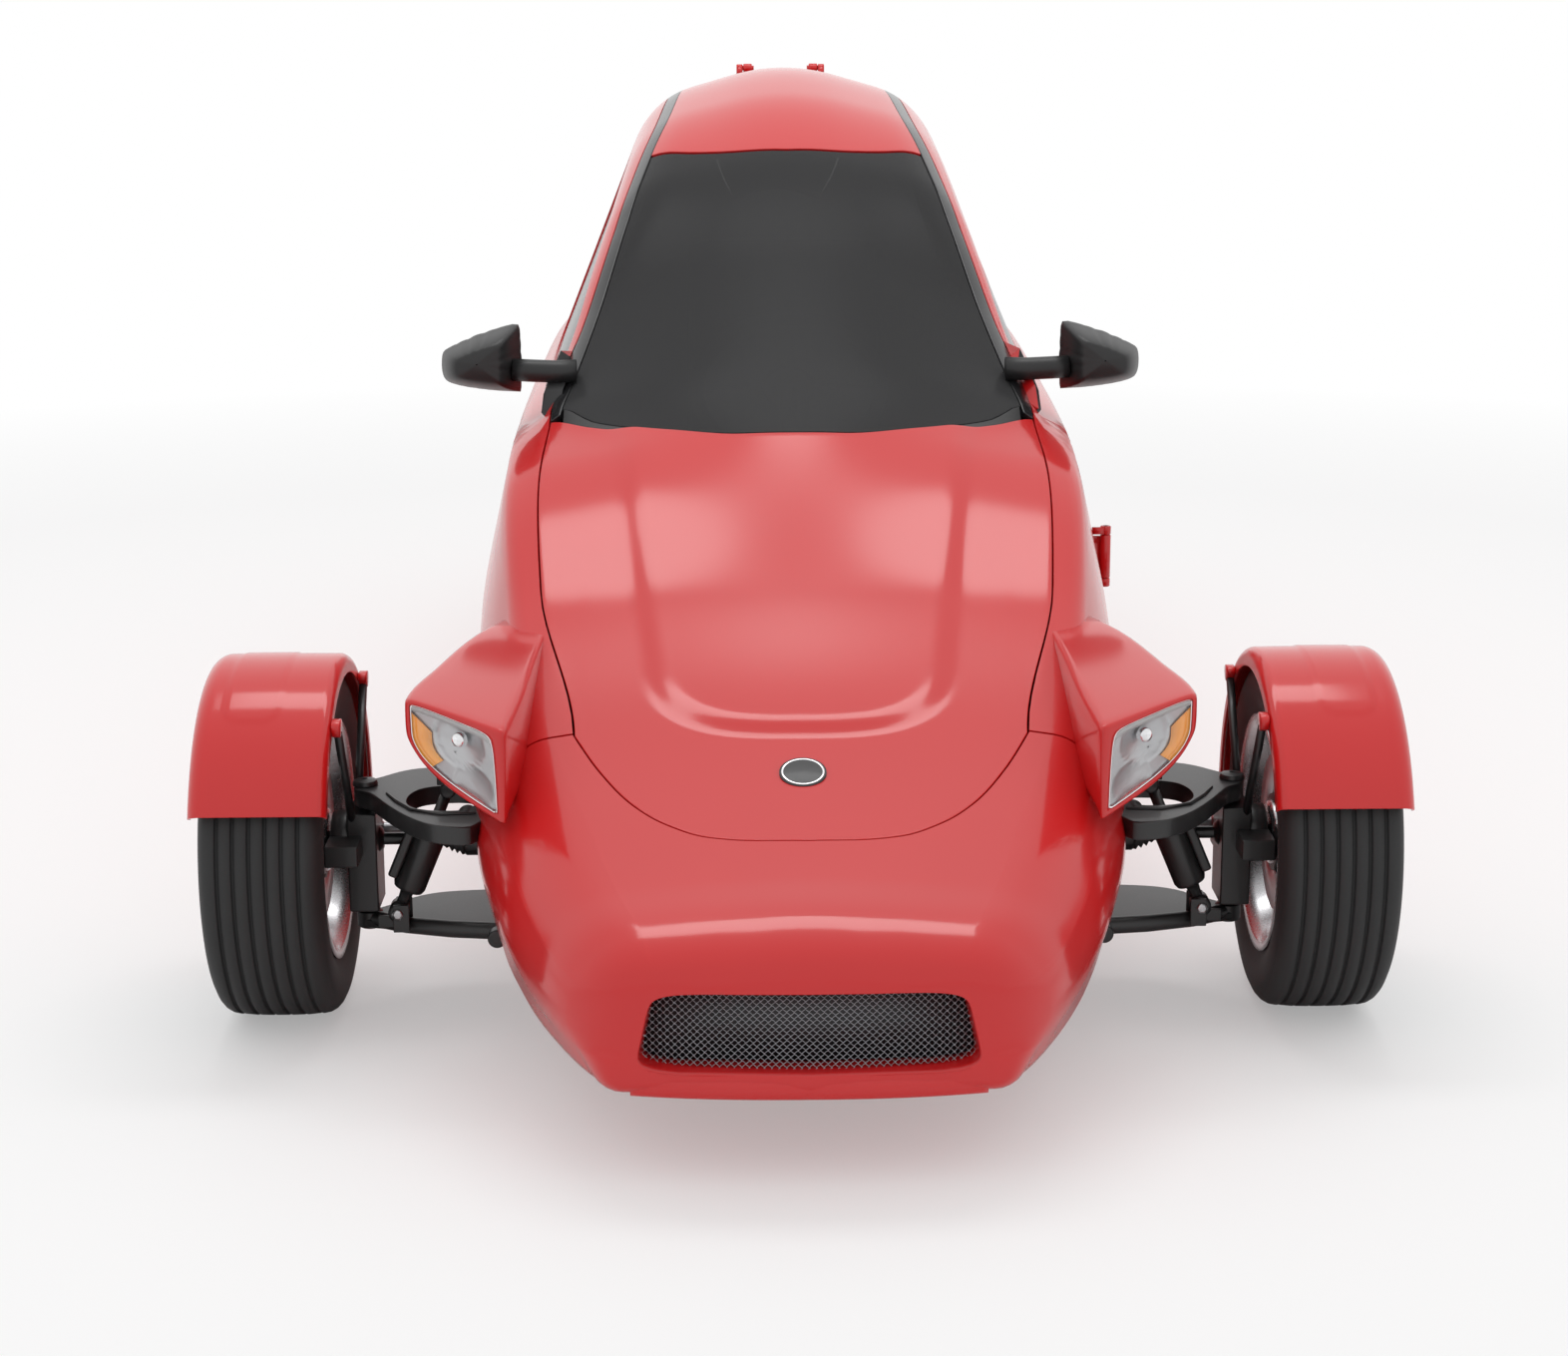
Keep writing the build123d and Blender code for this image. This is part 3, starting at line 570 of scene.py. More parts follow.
@dataclass
class PanelGrid:
    """A patch of the body cut by lines along and across the car.

    Lines across the car give a place behind the front axle as a function of (x, z); lines
    along it give a turn parameter as a function of the place. A point of the patch lies on
    one of each, found by repeating the two steps from a first guess.
    """

    form: Form
    across: Sequence[Line]
    along: Sequence[Level]
    steps_across: Sequence[int]
    steps_along: Sequence[int]

    def _weights(self, steps: Sequence[int]) -> Patch:
        """Index of the block and the share within it for each grid line."""
        block = np.concatenate([np.full(n, i) for i, n in enumerate(steps)] + [[len(steps) - 1]])
        share = np.concatenate([np.arange(n) / n for n in steps] + [[1.0]])
        return block.astype(int), share

    @staticmethod
    def _between(block: Array, share: Array, values: Sequence[Array]) -> Array:
        """Mix of the two lines that bound each block."""
        return sum(np.where(block == b, (1 - share) * values[b] + share * values[b + 1], 0)
                   for b in range(len(values) - 1))

    def points(self) -> Array:
        """The grid of points in millimetres behind the front axle."""
        bu, fu = (part[:, None] for part in self._weights(self.steps_across))
        bv, fv = self._weights(self.steps_along)
        x, z = (np.full((len(bu), len(bv)), guess) for guess in (300.0, 500.0))
        y = self._between(bu, fu, [line(x, z) for line in self.across])
        for _ in range(4):
            t = self._between(bv, fv, [level(y) for level in self.along])
            x, _, z = np.moveaxis(self.form.at(y, t), -1, 0)
            y = self._between(bu, fu, [line(x, z) for line in self.across])
        return self.form.at(y, t)

    def mask(self, removed: Sequence[tuple[int, int]]) -> Array:
        """True for each cell outside the removed (across, along) blocks."""
        bu, _ = self._weights(self.steps_across)
        bv, _ = self._weights(self.steps_along)
        keep = np.ones((len(bu) - 1, len(bv) - 1), bool)
        for a, b in removed:
            keep &= ~((bu[:-1] == a)[:, None] & (bv[:-1] == b)[None, :])
        return keep


def fixed(value: float) -> Line:
    """A line straight across the car."""
    return lambda x, z: np.full(np.shape(x), float(value))


def curved(rows: Table, shift: float) -> Line:
    """A line across the car through (half width, place) rows, moved back by shift."""
    place = table(rows)
    return lambda x, z: place(np.abs(x)) + shift


def widths(rows: Table, shift: float) -> Level:
    """Half width at a place through (place, half width) rows, widened by shift."""
    width = table(rows)
    return lambda y: width(y) + shift


def height_level(rows: Table) -> Level:
    """The line along the car at a height that follows a table."""
    height = table(rows, False)
    return lambda y: FORM.at_height(y, height(y))


def turn_level(value: float) -> Level:
    """The line at a fixed turn."""
    return lambda y: np.full(np.shape(y), value)


def joined(patches: Sequence[Patch]) -> Patch:
    """Points and faces of several patches as one set.

    Args:
        patches: Pairs of points and faces.

    Returns:
        All points and all faces, renumbered.
    """
    points, faces, count = [], [], 0
    for p, f in patches:
        flat = p.reshape(-1, 3)
        points.append(flat)
        faces.append(f + count)
        count += len(flat)
    return np.concatenate(points), np.concatenate(faces)


def outward(points: Array, faces: Array) -> Patch:
    """A patch of the body with its quads turned away from the car's middle line."""
    p = points.reshape(-1, 3)
    a, b, c = p[faces[:, 0]], p[faces[:, 1]], p[faces[:, 2]]
    normal = np.cross(b - a, c - a)
    middle = (a + c) / 2
    away = middle - np.stack([np.zeros(len(middle)), middle[:, 1], np.full(len(middle), 480.0)], 1)
    return p, faces[:, ::-1] if (normal * away).sum() < 0 else faces


def mirrored(points: Array) -> Array:
    """Points on the other side of the car."""
    return points * (-1.0, 1.0, 1.0)


def flipped(patch: Patch) -> Patch:
    """A patch's mirror image on the other side of the car, still facing outwards."""
    return mirrored(patch[0].reshape(-1, 3)), patch[1][:, ::-1]


def both_sides(patch: Patch) -> Patch:
    """A patch joined with its mirror image."""
    return joined([patch, flipped(patch)])


def top_points(form: Form, x: Array, y: Array) -> Array:
    """Points on the body's top at signed half widths, exact beside the middle line."""
    p = form.at(y, form.at_width(y, np.abs(x)))
    p[..., 0] = np.where(np.abs(x) < 6, x, np.sign(x) * p[..., 0])
    return p


HOOD_FRONT = [(0, -453), (60, -450), (130, -436), (190, -398), (238, -344), (285, -262), (326, -172)]
HOOD_SIDE = [(-460, 318), (-172, 326), (154, 392), (400, 408), (600, 402)]
HOOD_BACK = [(0, 457), (80, 458), (200, 484), (330, 540), (402, 600)]
SCREEN_FOOT = [(0, 470), (80, 472), (200, 498), (322, 552), (378, 616)]
SCREEN_SIDE = [(600, 386), (640, 378), (850, 330), (1105, 264), (1190, 246), (1350, 218), (1650, 200), (2080, 190)]
SCREEN_HEAD = [(0, 1104), (80, 1112), (160, 1138), (256, 1190)]
STRIP_SIDE = [(600, 402), (640, 402), (850, 355), (1105, 289), (1190, 271), (1350, 243), (1650, 225), (2074, 215)]
HATCH_SIDE = [(2080, 190), (2450, 168), (2850, 136), (3060, 112)]
REAR_GLASS_SIDE = [(2150, 160), (2450, 140), (2760, 116)]


def made(finish: Union[Lacquer, Moulded, TintedGlass]) -> Coat:
    """Field that makes a finish when the car is painted."""
    return field(default_factory=finish.make)


@dataclass
class Finishes:
    """Every finish of the car, made once."""

    red: Coat = made(Lacquer())
    black: Coat = made(Moulded("plastic_black", (0.010, 0.010, 0.0105), "black_plastic", 0.42))
    gloss_black: Coat = made(Moulded("strip_black", (0.010, 0.010, 0.011), "black_plastic", 0.26, coat=0.3))
    trim: Coat = made(Moulded("trim_dark", (0.016, 0.016, 0.017), "black_plastic", 0.62))
    rubber: Coat = made(Moulded("rubber_tyre", (0.013, 0.013, 0.0135), "tyre_rubber", 0.66, 500.0, 0.12))
    alloy: Coat = made(Moulded("alloy_bright", (0.44, 0.44, 0.45), "rim_alloy", 0.26, 300.0, 0.02, 1.0))
    chrome: Coat = made(Moulded("metal_polished", (0.78, 0.78, 0.80), "rim_alloy", 0.09, 300.0, 0.01, 1.0))
    dark_metal: Coat = made(Moulded("steel_black", (0.013, 0.013, 0.0135),
                                    "black_steel", 0.42, 600.0, 0.05, 0.0, 0.15))
    steel: Coat = made(Moulded("steel_bare", (0.42, 0.42, 0.43), "bare_steel", 0.34, 400.0, 0.04, 1.0))
    mesh: Coat = made(Moulded("mesh_grey", (0.42, 0.43, 0.46), "grey_mesh", 0.34, 700.0, 0.04, 0.7))
    screen: Coat = made(TintedGlass("glass_screen", (0.046, 0.046, 0.047), "tinted_glass", 0.84, 0.22, 1.13))
    window: Coat = made(TintedGlass("glass_side", (0.024, 0.024, 0.026), "tinted_glass", 0.88, 0.10, 1.3))
    lens: Coat = made(TintedGlass("lens_clear", (0.80, 0.82, 0.84), "clear_lens", 0.05, 0.02, 1.25))
    reflector: Coat = made(Moulded("reflector_silver", (0.44, 0.44, 0.45), "clear_lens", 0.36, 60.0, 0.02, 0.9))
    amber: Coat = made(Moulded("lens_amber", (1.0, 0.33, 0.015), "clear_lens", 0.15, 300.0, 0.05, 0.0, 1.0))
    band: Coat = made(Moulded("lamp_band_grey", (0.42, 0.42, 0.42), "clear_lens", 0.5, 300.0, 0.02))
    red_lens: Coat = made(Moulded("lens_red", (0.34, 0.004, 0.006), "red_lens", 0.10, 300.0, 0.02, 0.0, 1.0))
    fabric: Coat = made(Moulded("fabric_seat", (0.060, 0.062, 0.066), "seat_fabric", 0.88, 1400.0, 0.35))
    cast: Coat = made(Moulded("cast_grey", (0.16, 0.16, 0.165), "cast_block", 0.6, 200.0, 0.25, 0.6))
    disc: Coat = made(Moulded("disc_blank", (0.010, 0.010, 0.011), "rim_alloy", 0.34, 300.0, 0.02, 0.0, 0.1))


@dataclass
class Bodywork:
    """Red panels, glass and trim that follow the body's outer surface."""

    paint: Finishes
    gap: float = 1.3
    panel: float = 0.020
    glass: float = 0.005
    tail_edge: Table = (
        (600, 402), (640, 402), (850, 355), (1105, 289), (1190, 271), (1350, 243), (1650, 225), (2070, 215),
        (2084, 192), (2450, 169), (2850, 138), (3060, 112), (3368, 90))
    window_foot: Table = (
        (-170, 390), (100, 500), (400, 640), (650, 790), (742, 838), (1420, 862), (1600, 872), (2240, 884),
        (2478, 870), (3118, 820), (3368, 740))
    window_head: Table = (
        (-170, 415), (100, 530), (400, 665), (650, 804), (742, 846), (900, 952), (1110, 1092), (1330, 1178),
        (1410, 1198), (1500, 1202), (1600, 1206), (1900, 1196), (2120, 1150), (2240, 1110), (2478, 1040),
        (3118, 866), (3368, 776))
    door_head: Table = (
        (-170, 440), (100, 560), (400, 690), (650, 822), (850, 928), (980, 1029), (1045, 1081), (1100, 1121),
        (1200, 1165), (1350, 1220), (1500, 1246), (1600, 1240), (1900, 1230), (2120, 1190), (2240, 1150),
        (2478, 1086), (3118, 886), (3368, 790))
    door_foot: Table = (
        (-170, 240), (400, 262), (650, 262), (1560, 262), (2478, 330), (3118, 460), (3368, 520))

    def _upper_edge(self, y: Array) -> Array:
        """Half width of the sides' upper edge: along the hood, then the strips, then the hatch."""
        return np.where(y < 600, table(HOOD_SIDE)(np.minimum(y, 600)), table(self.tail_edge)(np.maximum(y, 600)))

    def _levels(self) -> list[Level]:
        """Lines along the side, from the middle of the floor up to the hood, strip or hatch."""
        def well_edge(y: Array) -> Array:
            """Turn on the floor where the rear wheel's opening ends."""
            reach = FORM.at(y, np.full(np.shape(y), -0.0001))[..., 0]
            return FLOOR_TURN + 0.5 * np.clip(138.0 / np.maximum(reach, 1.0), 0.0, 0.92)

        heights = (self.door_foot, self.window_foot, self.window_head, self.door_head)
        return [turn_level(FLOOR_TURN), well_edge, turn_level(0.0), turn_level(0.5), *map(height_level, heights),
                lambda y: FORM.at_width(y, self._upper_edge(y) + self.gap), turn_level(CROWN_TURN)]

    @staticmethod
    def _door_rear(shift: float) -> Line:
        """The door's rear edge, moved back by shift."""
        return lambda x, z: 1400.0 + shift + 0.30 * x

    @staticmethod
    def _quarter_rear(foot: float) -> Line:
        """The quarter window's rear edge, which leans forwards above its foot."""
        return lambda x, z: foot - 0.451 * np.clip(z - 884.0, 0.0, 266.0)

    def _panel(self, name: str, patch: Patch, body: str, node: str, thickness: float, bevel: float = 0.0014,
               weld: float = 0.0002) -> None:
        """Makes a red panel with a dark inner side.

        Args:
            name: The piece's name.
            patch: Its outer surface.
            body: The body it rides on.
            node: The CAD node it stands for.
            thickness: Metres.
            bevel: Radius of its rounded rims.
            weld: Distance under which points are merged.
        """
        thicken(mesh_object(name, patch, body, [self.paint.red, self.paint.trim], [node], weld), thickness, bevel, 1)

    def sides(self) -> None:
        """Tub: both sides, sills, floor and tail, with the door, windows and wheel well cut."""
        across = [fixed(-168.0), fixed(400.0), fixed(650 - self.gap), fixed(742), fixed(1410),
                  self._door_rear(self.gap), fixed(1600), self._quarter_rear(2240.0), fixed(2478), fixed(3060),
                  fixed(3118), fixed(3368)]
        steps = [14, 8, 4, 22, 4, 4, 14, 8, 14, 2, 8]
        grid = PanelGrid(FORM, across, self._levels(), steps, [3, 4, 4, 6, 12, 10, 3, 8, 8])
        points = grid.points()
        common = [(8, 0), (9, 0)] + [(u, 8) for u in range(len(steps) - 2)] + [(6, 5)]
        door = [(u, v) for u in (2, 3, 4) for v in (4, 5, 6)]
        left = outward(points, grid_faces(grid.mask(common + door)))
        right = outward(mirrored(points), grid_faces(grid.mask(common + [(3, 5)])))
        tub = joined([left, right, both_sides(self._tail_cap(points))])
        self._panel("tub_shell", tub, "car", "body_tub", self.panel, 0.0016, 0.0004)

    @staticmethod
    def _tail_cap(points: Array) -> Patch:
        """Flat end of the tail, from the last section to the middle plane, for the left half."""
        rim = points[-1]
        middle = np.array([0.0, 0.0, 640.0])
        rows = ((1.0, 3368.0), (0.975, 3368.0), (0.962, 3366.5), (0.95, 3362.5), (0.93, 3361.0), (0.75, 3361.0),
                (0.5, 3361.0), (0.25, 3361.0), (0.01, 3361.0))
        cap = np.stack([(middle + (rim - middle) * k) * (1, 0, 1) + (0, y, 0) for k, y in rows], 1)
        faces = sheet(cap)[1]
        flat = cap.reshape(-1, 3)
        facing = np.cross(flat[faces[:, 1]] - flat[faces[:, 0]], flat[faces[:, 3]] - flat[faces[:, 0]])[:, 1].sum()
        return cap, faces if facing > 0 else faces[:, ::-1]

    def nose(self) -> None:
        """Nose with the grille opening, the bumper crease and the front of the fender line."""
        runs = ((FLOOR_TURN, 0, 5), (0, 0.5, 5), (0.5, 1, 9), (1, 1.5, 7))
        turns = np.concatenate([np.linspace(*run)[:-1] for run in runs] + [np.linspace(1.5, 2, 7)])
        edge, seam = HOOD_CORNER
        corner = float(FORM.at_width(np.array([seam]), np.array([edge + self.gap]))[0])
        across = (edge + self.gap) * (1 - np.linspace(0, 1, 46)[1:])
        front = table(HOOD_FRONT)(np.clip(across - self.gap, 0, edge)) - self.gap
        front = np.where(across > edge, seam, front)
        turns = np.concatenate([turns, np.linspace(2.0, corner, 15)[1:], FORM.at_width(front, across)])
        turns[-1] = CROWN_TURN
        rear = np.concatenate([np.full(len(turns) - len(front), seam), front])
        y = NOSE_SEAM + np.linspace(0, 1, 41)[:, None] * (rear[None, :] - NOSE_SEAM)
        body = FORM.at(y, np.broadcast_to(turns[None, :], y.shape))
        collar = self._grille_collar(body[0])
        shell = both_sides(outward(*joined([sheet(body), sheet(collar)])))
        self._panel("nose_shell", shell, "car", "nose_panel", 0.016, 0.0016, 0.0004)
        self._grille_frame(collar[0])

    def _grille_collar(self, outer: Array) -> Array:
        """Rounded front of the nose between the grille opening and the section behind it.

        Each point blends from the opening's rim to the section with b; its place goes with a
        power of b that grows with height, so that the collar meets the body along its own slope.

        Args:
            outer: Section at the back of the collar, from the floor's middle to the crown's.

        Returns:
            Grid of points, the opening's rim first.
        """
        hole = self._grille_rim(outer)
        b = np.array([0.0, 0.03, 0.08, 0.16, 0.26, 0.38, 0.5, 0.6, 0.69, 0.77, 0.84, 0.9, 0.95, 1.0])[:, None]
        x = hole[None, :, 0] * (1 - b) + outer[None, :, 0] * b
        z = hole[None, :, 2] * (1 - b) + outer[None, :, 2] * b
        plan = -711.0 + 17.0 * (np.abs(hole[None, :, 0]) / 228.0) ** 2.2
        rise = np.clip((outer[:, 2] - 215.0) / 110.0, 0, 1)
        power = 2.1 + 0.8 * rise * rise * (3 - 2 * rise)
        sharp = np.clip((190.0 - outer[:, 2]) / 60.0, 0, 1)
        g = b ** (power * (1 - sharp) + 6.0 * sharp)[None, :]
        y = plan * (1 - g) + outer[None, :, 1] * g
        return np.stack([x, y, z], -1)

    def _grille_rim(self, outer: Array) -> Array:
        """Rim of the grille opening, one point for each point of the section behind."""
        angle = np.arctan2(outer[:, 2] - 215.0, outer[:, 0] * 0.62)
        height, width = 56.0, 215.5
        c, s = np.cos(angle), np.sin(angle)
        power = 2 / 7.0
        x = width * np.sign(c) * np.abs(c) ** power
        z = 208.0 + height * np.sign(s) * np.abs(s) ** power
        lean = 1.0 - 0.058 * (z - 208.0) / height
        return np.stack([np.maximum(x, 0.0) * lean, np.full(len(x), -711.0), z], 1)

    def _grille_frame(self, rim: Array) -> None:
        """Red ledge that runs inwards from the grille opening's rim to the mesh."""
        depth = np.linspace(0, 1, 5)[:, None]
        half = np.stack([rim[None, :, 0] * (1 - 0.035 * depth), rim[None, :, 1] + 44.0 * depth,
                         208.0 + (rim[None, :, 2] - 208.0) * (1 - 0.06 * depth)], -1)
        ledge = mesh_object("grille_ledge", both_sides(sheet(half)), "car", [self.paint.red], weld=0.0004)
        thicken(ledge, 0.003, offset=0.0)

    def grille(self) -> None:
        """Expanded mesh of diamond openings, woven from two families of zigzag strands."""
        pitch_x, pitch_z = 9.6, 4.7
        half_width, low, high = 222.0, 150.0, 264.0
        u = np.linspace(-half_width, half_width, int(2 * half_width / (pitch_x / 2)) * 2 + 1)
        phase = np.abs(((u / pitch_x) % 1.0) - 0.5) * 2.0
        zigzag = np.clip((phase - 0.5) * 1.7, -0.5, 0.5) * (pitch_z - 0.9)
        y = -690.0 + 22.0 * (np.abs(u) / 214.0) ** 2 + 1.2 * np.sin(u / pitch_x * 2 * np.pi)
        ring = np.array([(0.0, 0.0, 0.55), (0.0, 1.1, 0.0), (0.0, 0.0, -0.55), (0.0, -1.1, 0.0), (0.0, 0.0, 0.55)])
        strands = []
        for row in range(int((high - low) / pitch_z) + 1):
            z = np.minimum(low + 4 + row * pitch_z + (-1) ** row * zigzag, high - 1)
            strands.append(sheet(np.stack([u, y, z], -1)[:, None] + ring))
        points, faces = joined(strands)
        mesh_object("grille_strands", (points, faces[:, ::-1]), "car", [self.paint.mesh], ["grille_mesh"], 0.00002)
        corners = np.array([(-228, -655, 148), (228, -655, 148), (228, -655, 266), (-228, -655, 266)], float)
        thicken(mesh_object("grille_backing", (corners, np.array([[0, 1, 2, 3]])), "car", [self.paint.black]), 0.003)

    def lip(self) -> None:
        """Rounded red bar under the grille opening."""
        u, angle = np.linspace(-1, 1, 61)[:, None], np.linspace(0, 2 * np.pi, 25)
        sx, sz = (np.sign(wave) * np.abs(wave) ** 0.6 for wave in (np.cos(angle), np.sin(angle)))
        y = -710.0 + 20.0 * np.abs(u) ** 2.4 + 30.0 - 30.0 * sx
        grid = np.stack([np.broadcast_to(231.0 * u, y.shape), y, np.broadcast_to(132.0 + 17.5 * sz, y.shape)], -1)
        shares = np.linspace(1, 0.02, 4)[:, None, None]
        ends = [sheet(end.mean(0) + (end - end.mean(0)) * shares) for end in (grid[0], grid[-1])]
        fix_normals(mesh_object("lip_bar", joined([sheet(grid)] + ends), "car", [self.paint.red], ["front_lip"],
                                0.0003))

    def _hood_height(self, x: Array, y: Array) -> Array:
        """Height of the raised panel above the hood's plain surface, a smooth step inside a rounded U."""
        half = np.interp(y, (-200, -60, 500), (214, 240, 310))
        ahead = np.maximum(0.0, -60.0 - y) / 150.0
        radius = (np.abs(x / half) ** 2.6 + ahead**2.6) ** (1 / 2.6)
        s = np.clip((1.0 - radius) * half / 58.0, 0.0, 1.0)
        return 9.0 * s * s * (3 - 2 * s)

    def hood(self) -> None:
        """Hood lid with its raised panel."""
        ahead, back, side = table(HOOD_FRONT), table(HOOD_BACK), table(HOOD_SIDE)
        u = np.linspace(-1, 1, 97)
        v = (np.linspace(0, 1, 111) ** 1.1)[:, None]
        half = np.full((len(v), len(u)), 330.0)
        for _ in range(8):
            x = u * (half - self.gap)
            front = ahead(np.clip(np.abs(x), 0, HOOD_CORNER[0])) + self.gap
            y = front + v * (back(np.abs(x)) - self.gap - front)
            half = side(y)
        p = top_points(FORM, x, y)
        p[..., 2] += self._hood_height(x, y)
        self._panel("hood_skin", outward(*sheet(p)), "hood_lid", "hood", 0.012, weld=0.0)

    def _top_patch(self, name: str, low_x: Optional[Level], high_x: Level, y0: Line, y1: Line,
                   counts: tuple[int, int], coat: Coat, node: str, thickness: float, form: Form = FORM,
                   body: str = "car") -> None:
        """Patch on the body's top between two half widths and two lines across.

        Args:
            name: The piece's name.
            low_x: Inner half width, or None for a patch that crosses the middle line.
            high_x: Outer half width.
            y0: Front line.
            y1: Rear line.
            counts: Steps along the car and across it.
            coat: Its finish.
            node: The CAD node it stands for.
            thickness: Metres.
            form: The surface it lies on.
            body: The body it rides on.
        """
        n, m = counts
        v = np.linspace(0, 1, n + 1)[:, None]
        u = np.linspace(-1 if low_x is None else 0, 1, m + 1)
        x = np.full((n + 1, m + 1), 200.0)
        for _ in range(6):
            a, b = y0(x, x), y1(x, x)
            y = a + v * (b - a)
            x = u * high_x(y) if low_x is None else low_x(y) + u * (high_x(y) - low_x(y))
        patch = outward(*sheet(top_points(form, x, y)))
        piece = mesh_object(name, patch if low_x is None else both_sides(patch), body, [coat, self.paint.trim], [node])
        thicken(piece, thickness, min(0.0012, thickness * 0.3))

    def glass_and_trim(self) -> None:
        """Screen, cowl band, black strips and roof."""
        inner = Form(inset=2.0)
        self._top_patch("screen_glass", None, widths(SCREEN_SIDE, -0.6), curved(SCREEN_FOOT, 1),
                        curved(SCREEN_HEAD, -1.0), (44, 40), self.paint.screen, "windscreen", 0.006, inner)
        self._top_patch("cowl_band", None, lambda y: np.full(np.shape(y), 380.0), curved(HOOD_BACK, self.gap),
                        curved(SCREEN_FOOT, -0.5), (5, 60), self.paint.black, "cowl_trim", 0.010, inner)
        self._top_patch("strip_pair", widths(SCREEN_SIDE, 0.4), widths(STRIP_SIDE, -0.6), fixed(602), fixed(2072),
                        (90, 6), self.paint.gloss_black, "roof_strips", 0.012)
        self._top_patch("roof_skin", None, widths(SCREEN_SIDE, -0.4 * self.gap), curved(SCREEN_HEAD, 1.5),
                        fixed(2078), (40, 26), self.paint.red, "roof_panel", 0.016)

    def hatch(self) -> None:
        """Rear hatch frame and its glass."""
        rear_glass = table(REAR_GLASS_SIDE, False)
        start, end = HATCH_PANE
        places = np.concatenate([np.linspace(2082, start, 5)[:-1], np.linspace(start, end, 31)[:-1],
                                 np.linspace(end, 3058, 16)])[:, None]
        share = np.concatenate([np.linspace(0, 1, 21)[:-1], np.linspace(1, 2, 6)])
        inner = rear_glass(np.clip(places, start, end)) - np.maximum(places - end, 0.0) * 0.06
        outer = table(HATCH_SIDE, False)(places) - self.gap
        x = np.where(share <= 1, share * inner, inner + (share - 1) * (outer - inner))
        y = np.broadcast_to(places, x.shape)
        p = FORM.at(y, FORM.at_width(y, x))
        p[:, :2, 0] = x[:, :2]
        keep = np.ones((len(places) - 1, len(share) - 1), bool)
        keep[np.ix_((places[:-1, 0] >= start - 1) & (places[:-1, 0] < end - 1), share[:-1] < 0.999)] = False
        self._panel("hatch_skin", both_sides(outward(p, grid_faces(keep))), "hatch_lid", "rear_hatch", 0.016)
        self._top_patch("hatch_pane", None, lambda y: rear_glass(np.clip(y, start, end)) - 0.6, fixed(start + 1),
                        fixed(end - 1), (30, 20), self.paint.window, "rear_hatch_glass", 0.005, Form(inset=2.0),
                        "hatch_lid")

    def door(self) -> None:
        """Door on the car's left with its window, and the panes of both sides."""
        foot, low, high, head = (table(rows, False) for rows in
                                 (self.door_foot, self.window_foot, self.window_head, self.door_head))

        def level(height: Level, shift: float, form: Form = FORM) -> Level:
            """The line along the car at a height moved up by shift."""
            return lambda y: form.at_height(y, height(y) + shift)

        across = [fixed(650 + self.gap), fixed(742), fixed(1410), self._door_rear(-self.gap)]
        along = [level(foot, self.gap), level(low, 0), level(high, 0), level(head, -self.gap)]
        grid = PanelGrid(FORM, across, along, [6, 30, 6], [30, 10, 4])
        leaf = outward(grid.points(), grid_faces(grid.mask([(1, 1)])))
        self._panel("door_skin", leaf, "door_leaf", "door", 0.018)
        inner = Form(inset=3.0)

        def pane(start: Line, end: Line) -> Patch:
            """Glass between two lines across the car."""
            levels = [level(low, 0.8, inner), level(high, -0.8, inner)]
            return outward(*sheet(PanelGrid(inner, [start, end], levels, [26], [10]).points()))

        front, quarter = pane(fixed(743), fixed(1409)), pane(fixed(1601), self._quarter_rear(2239.0))
        for name, patch, body, node in (("door_pane", front, "door_leaf", "door_glass"),
                                        ("side_panes", joined([flipped(front), both_sides(quarter)]), "car",
                                         "side_glasses")):
            thicken(mesh_object(name, patch, body, [self.paint.window], [node]), self.glass, 0.0006, segments=1)

    def build(self) -> None:
        """Builds every body panel."""
        self.sides()
        self.nose()
        self.grille()
        self.lip()
        self.hood()
        self.glass_and_trim()
        self.hatch()
        self.door()


def fix_normals(piece: bpy.types.Object) -> None:
    """Turns a closed piece's faces outwards."""
    work = bmesh.new()
    work.from_mesh(piece.data)
    bmesh.ops.recalc_face_normals(work, faces=work.faces)
    work.to_mesh(piece.data)
    work.free()


def corner_cut(points: Array, rounds: int = 3, closed: bool = False) -> Array:
    """Rounds the corners of a line of points by cutting each corner at a quarter and three quarters.

    Args:
        points: Points along axis 0, with any further axes.
        rounds: How often the corners are cut.
        closed: Whether the last point joins the first.

    Returns:
        The rounded line.
    """
    p = np.asarray(points, float)
    for _ in range(rounds):
        q = np.concatenate([p, p[:1]]) if closed else p
        a, b = q[:-1] * 0.75 + q[1:] * 0.25, q[:-1] * 0.25 + q[1:] * 0.75
        cut = np.stack([a, b], 1).reshape((-1,) + p.shape[1:])
        p = cut if closed else np.concatenate([p[:1], cut, p[-1:]])
    return p


def by_angle(curve: Array, centre: tuple[float, float], angles: Array) -> Array:
    """Points of a closed curve seen from a centre at given angles.

    Args:
        curve: Closed curve of (a, h) points, star-shaped about the centre.
        centre: Where it is seen from.
        angles: Directions in radians.

    Returns:
        One (a, h) point for each angle.
    """
    rel = curve - centre
    way = np.arctan2(rel[:, 1], rel[:, 0])
    order = np.argsort(way)
    way, dist = way[order], np.hypot(rel[:, 0], rel[:, 1])[order]
    way = np.concatenate([way - 2 * np.pi, way, way + 2 * np.pi])
    dist = np.tile(dist, 3)
    r = np.interp((angles + np.pi) % (2 * np.pi) - np.pi, way, dist)
    return np.stack([centre[0] + r * np.cos(angles), centre[1] + r * np.sin(angles)], -1)


def closed_faces(rows: int, cols: int) -> Array:
    """Quads of a grid whose last column joins its first."""
    index = np.arange(rows * cols).reshape(rows, cols)
    nxt = np.roll(index, -1, axis=1)
    return np.stack([index[:-1], index[1:], nxt[1:], nxt[:-1]], -1).reshape(-1, 4)


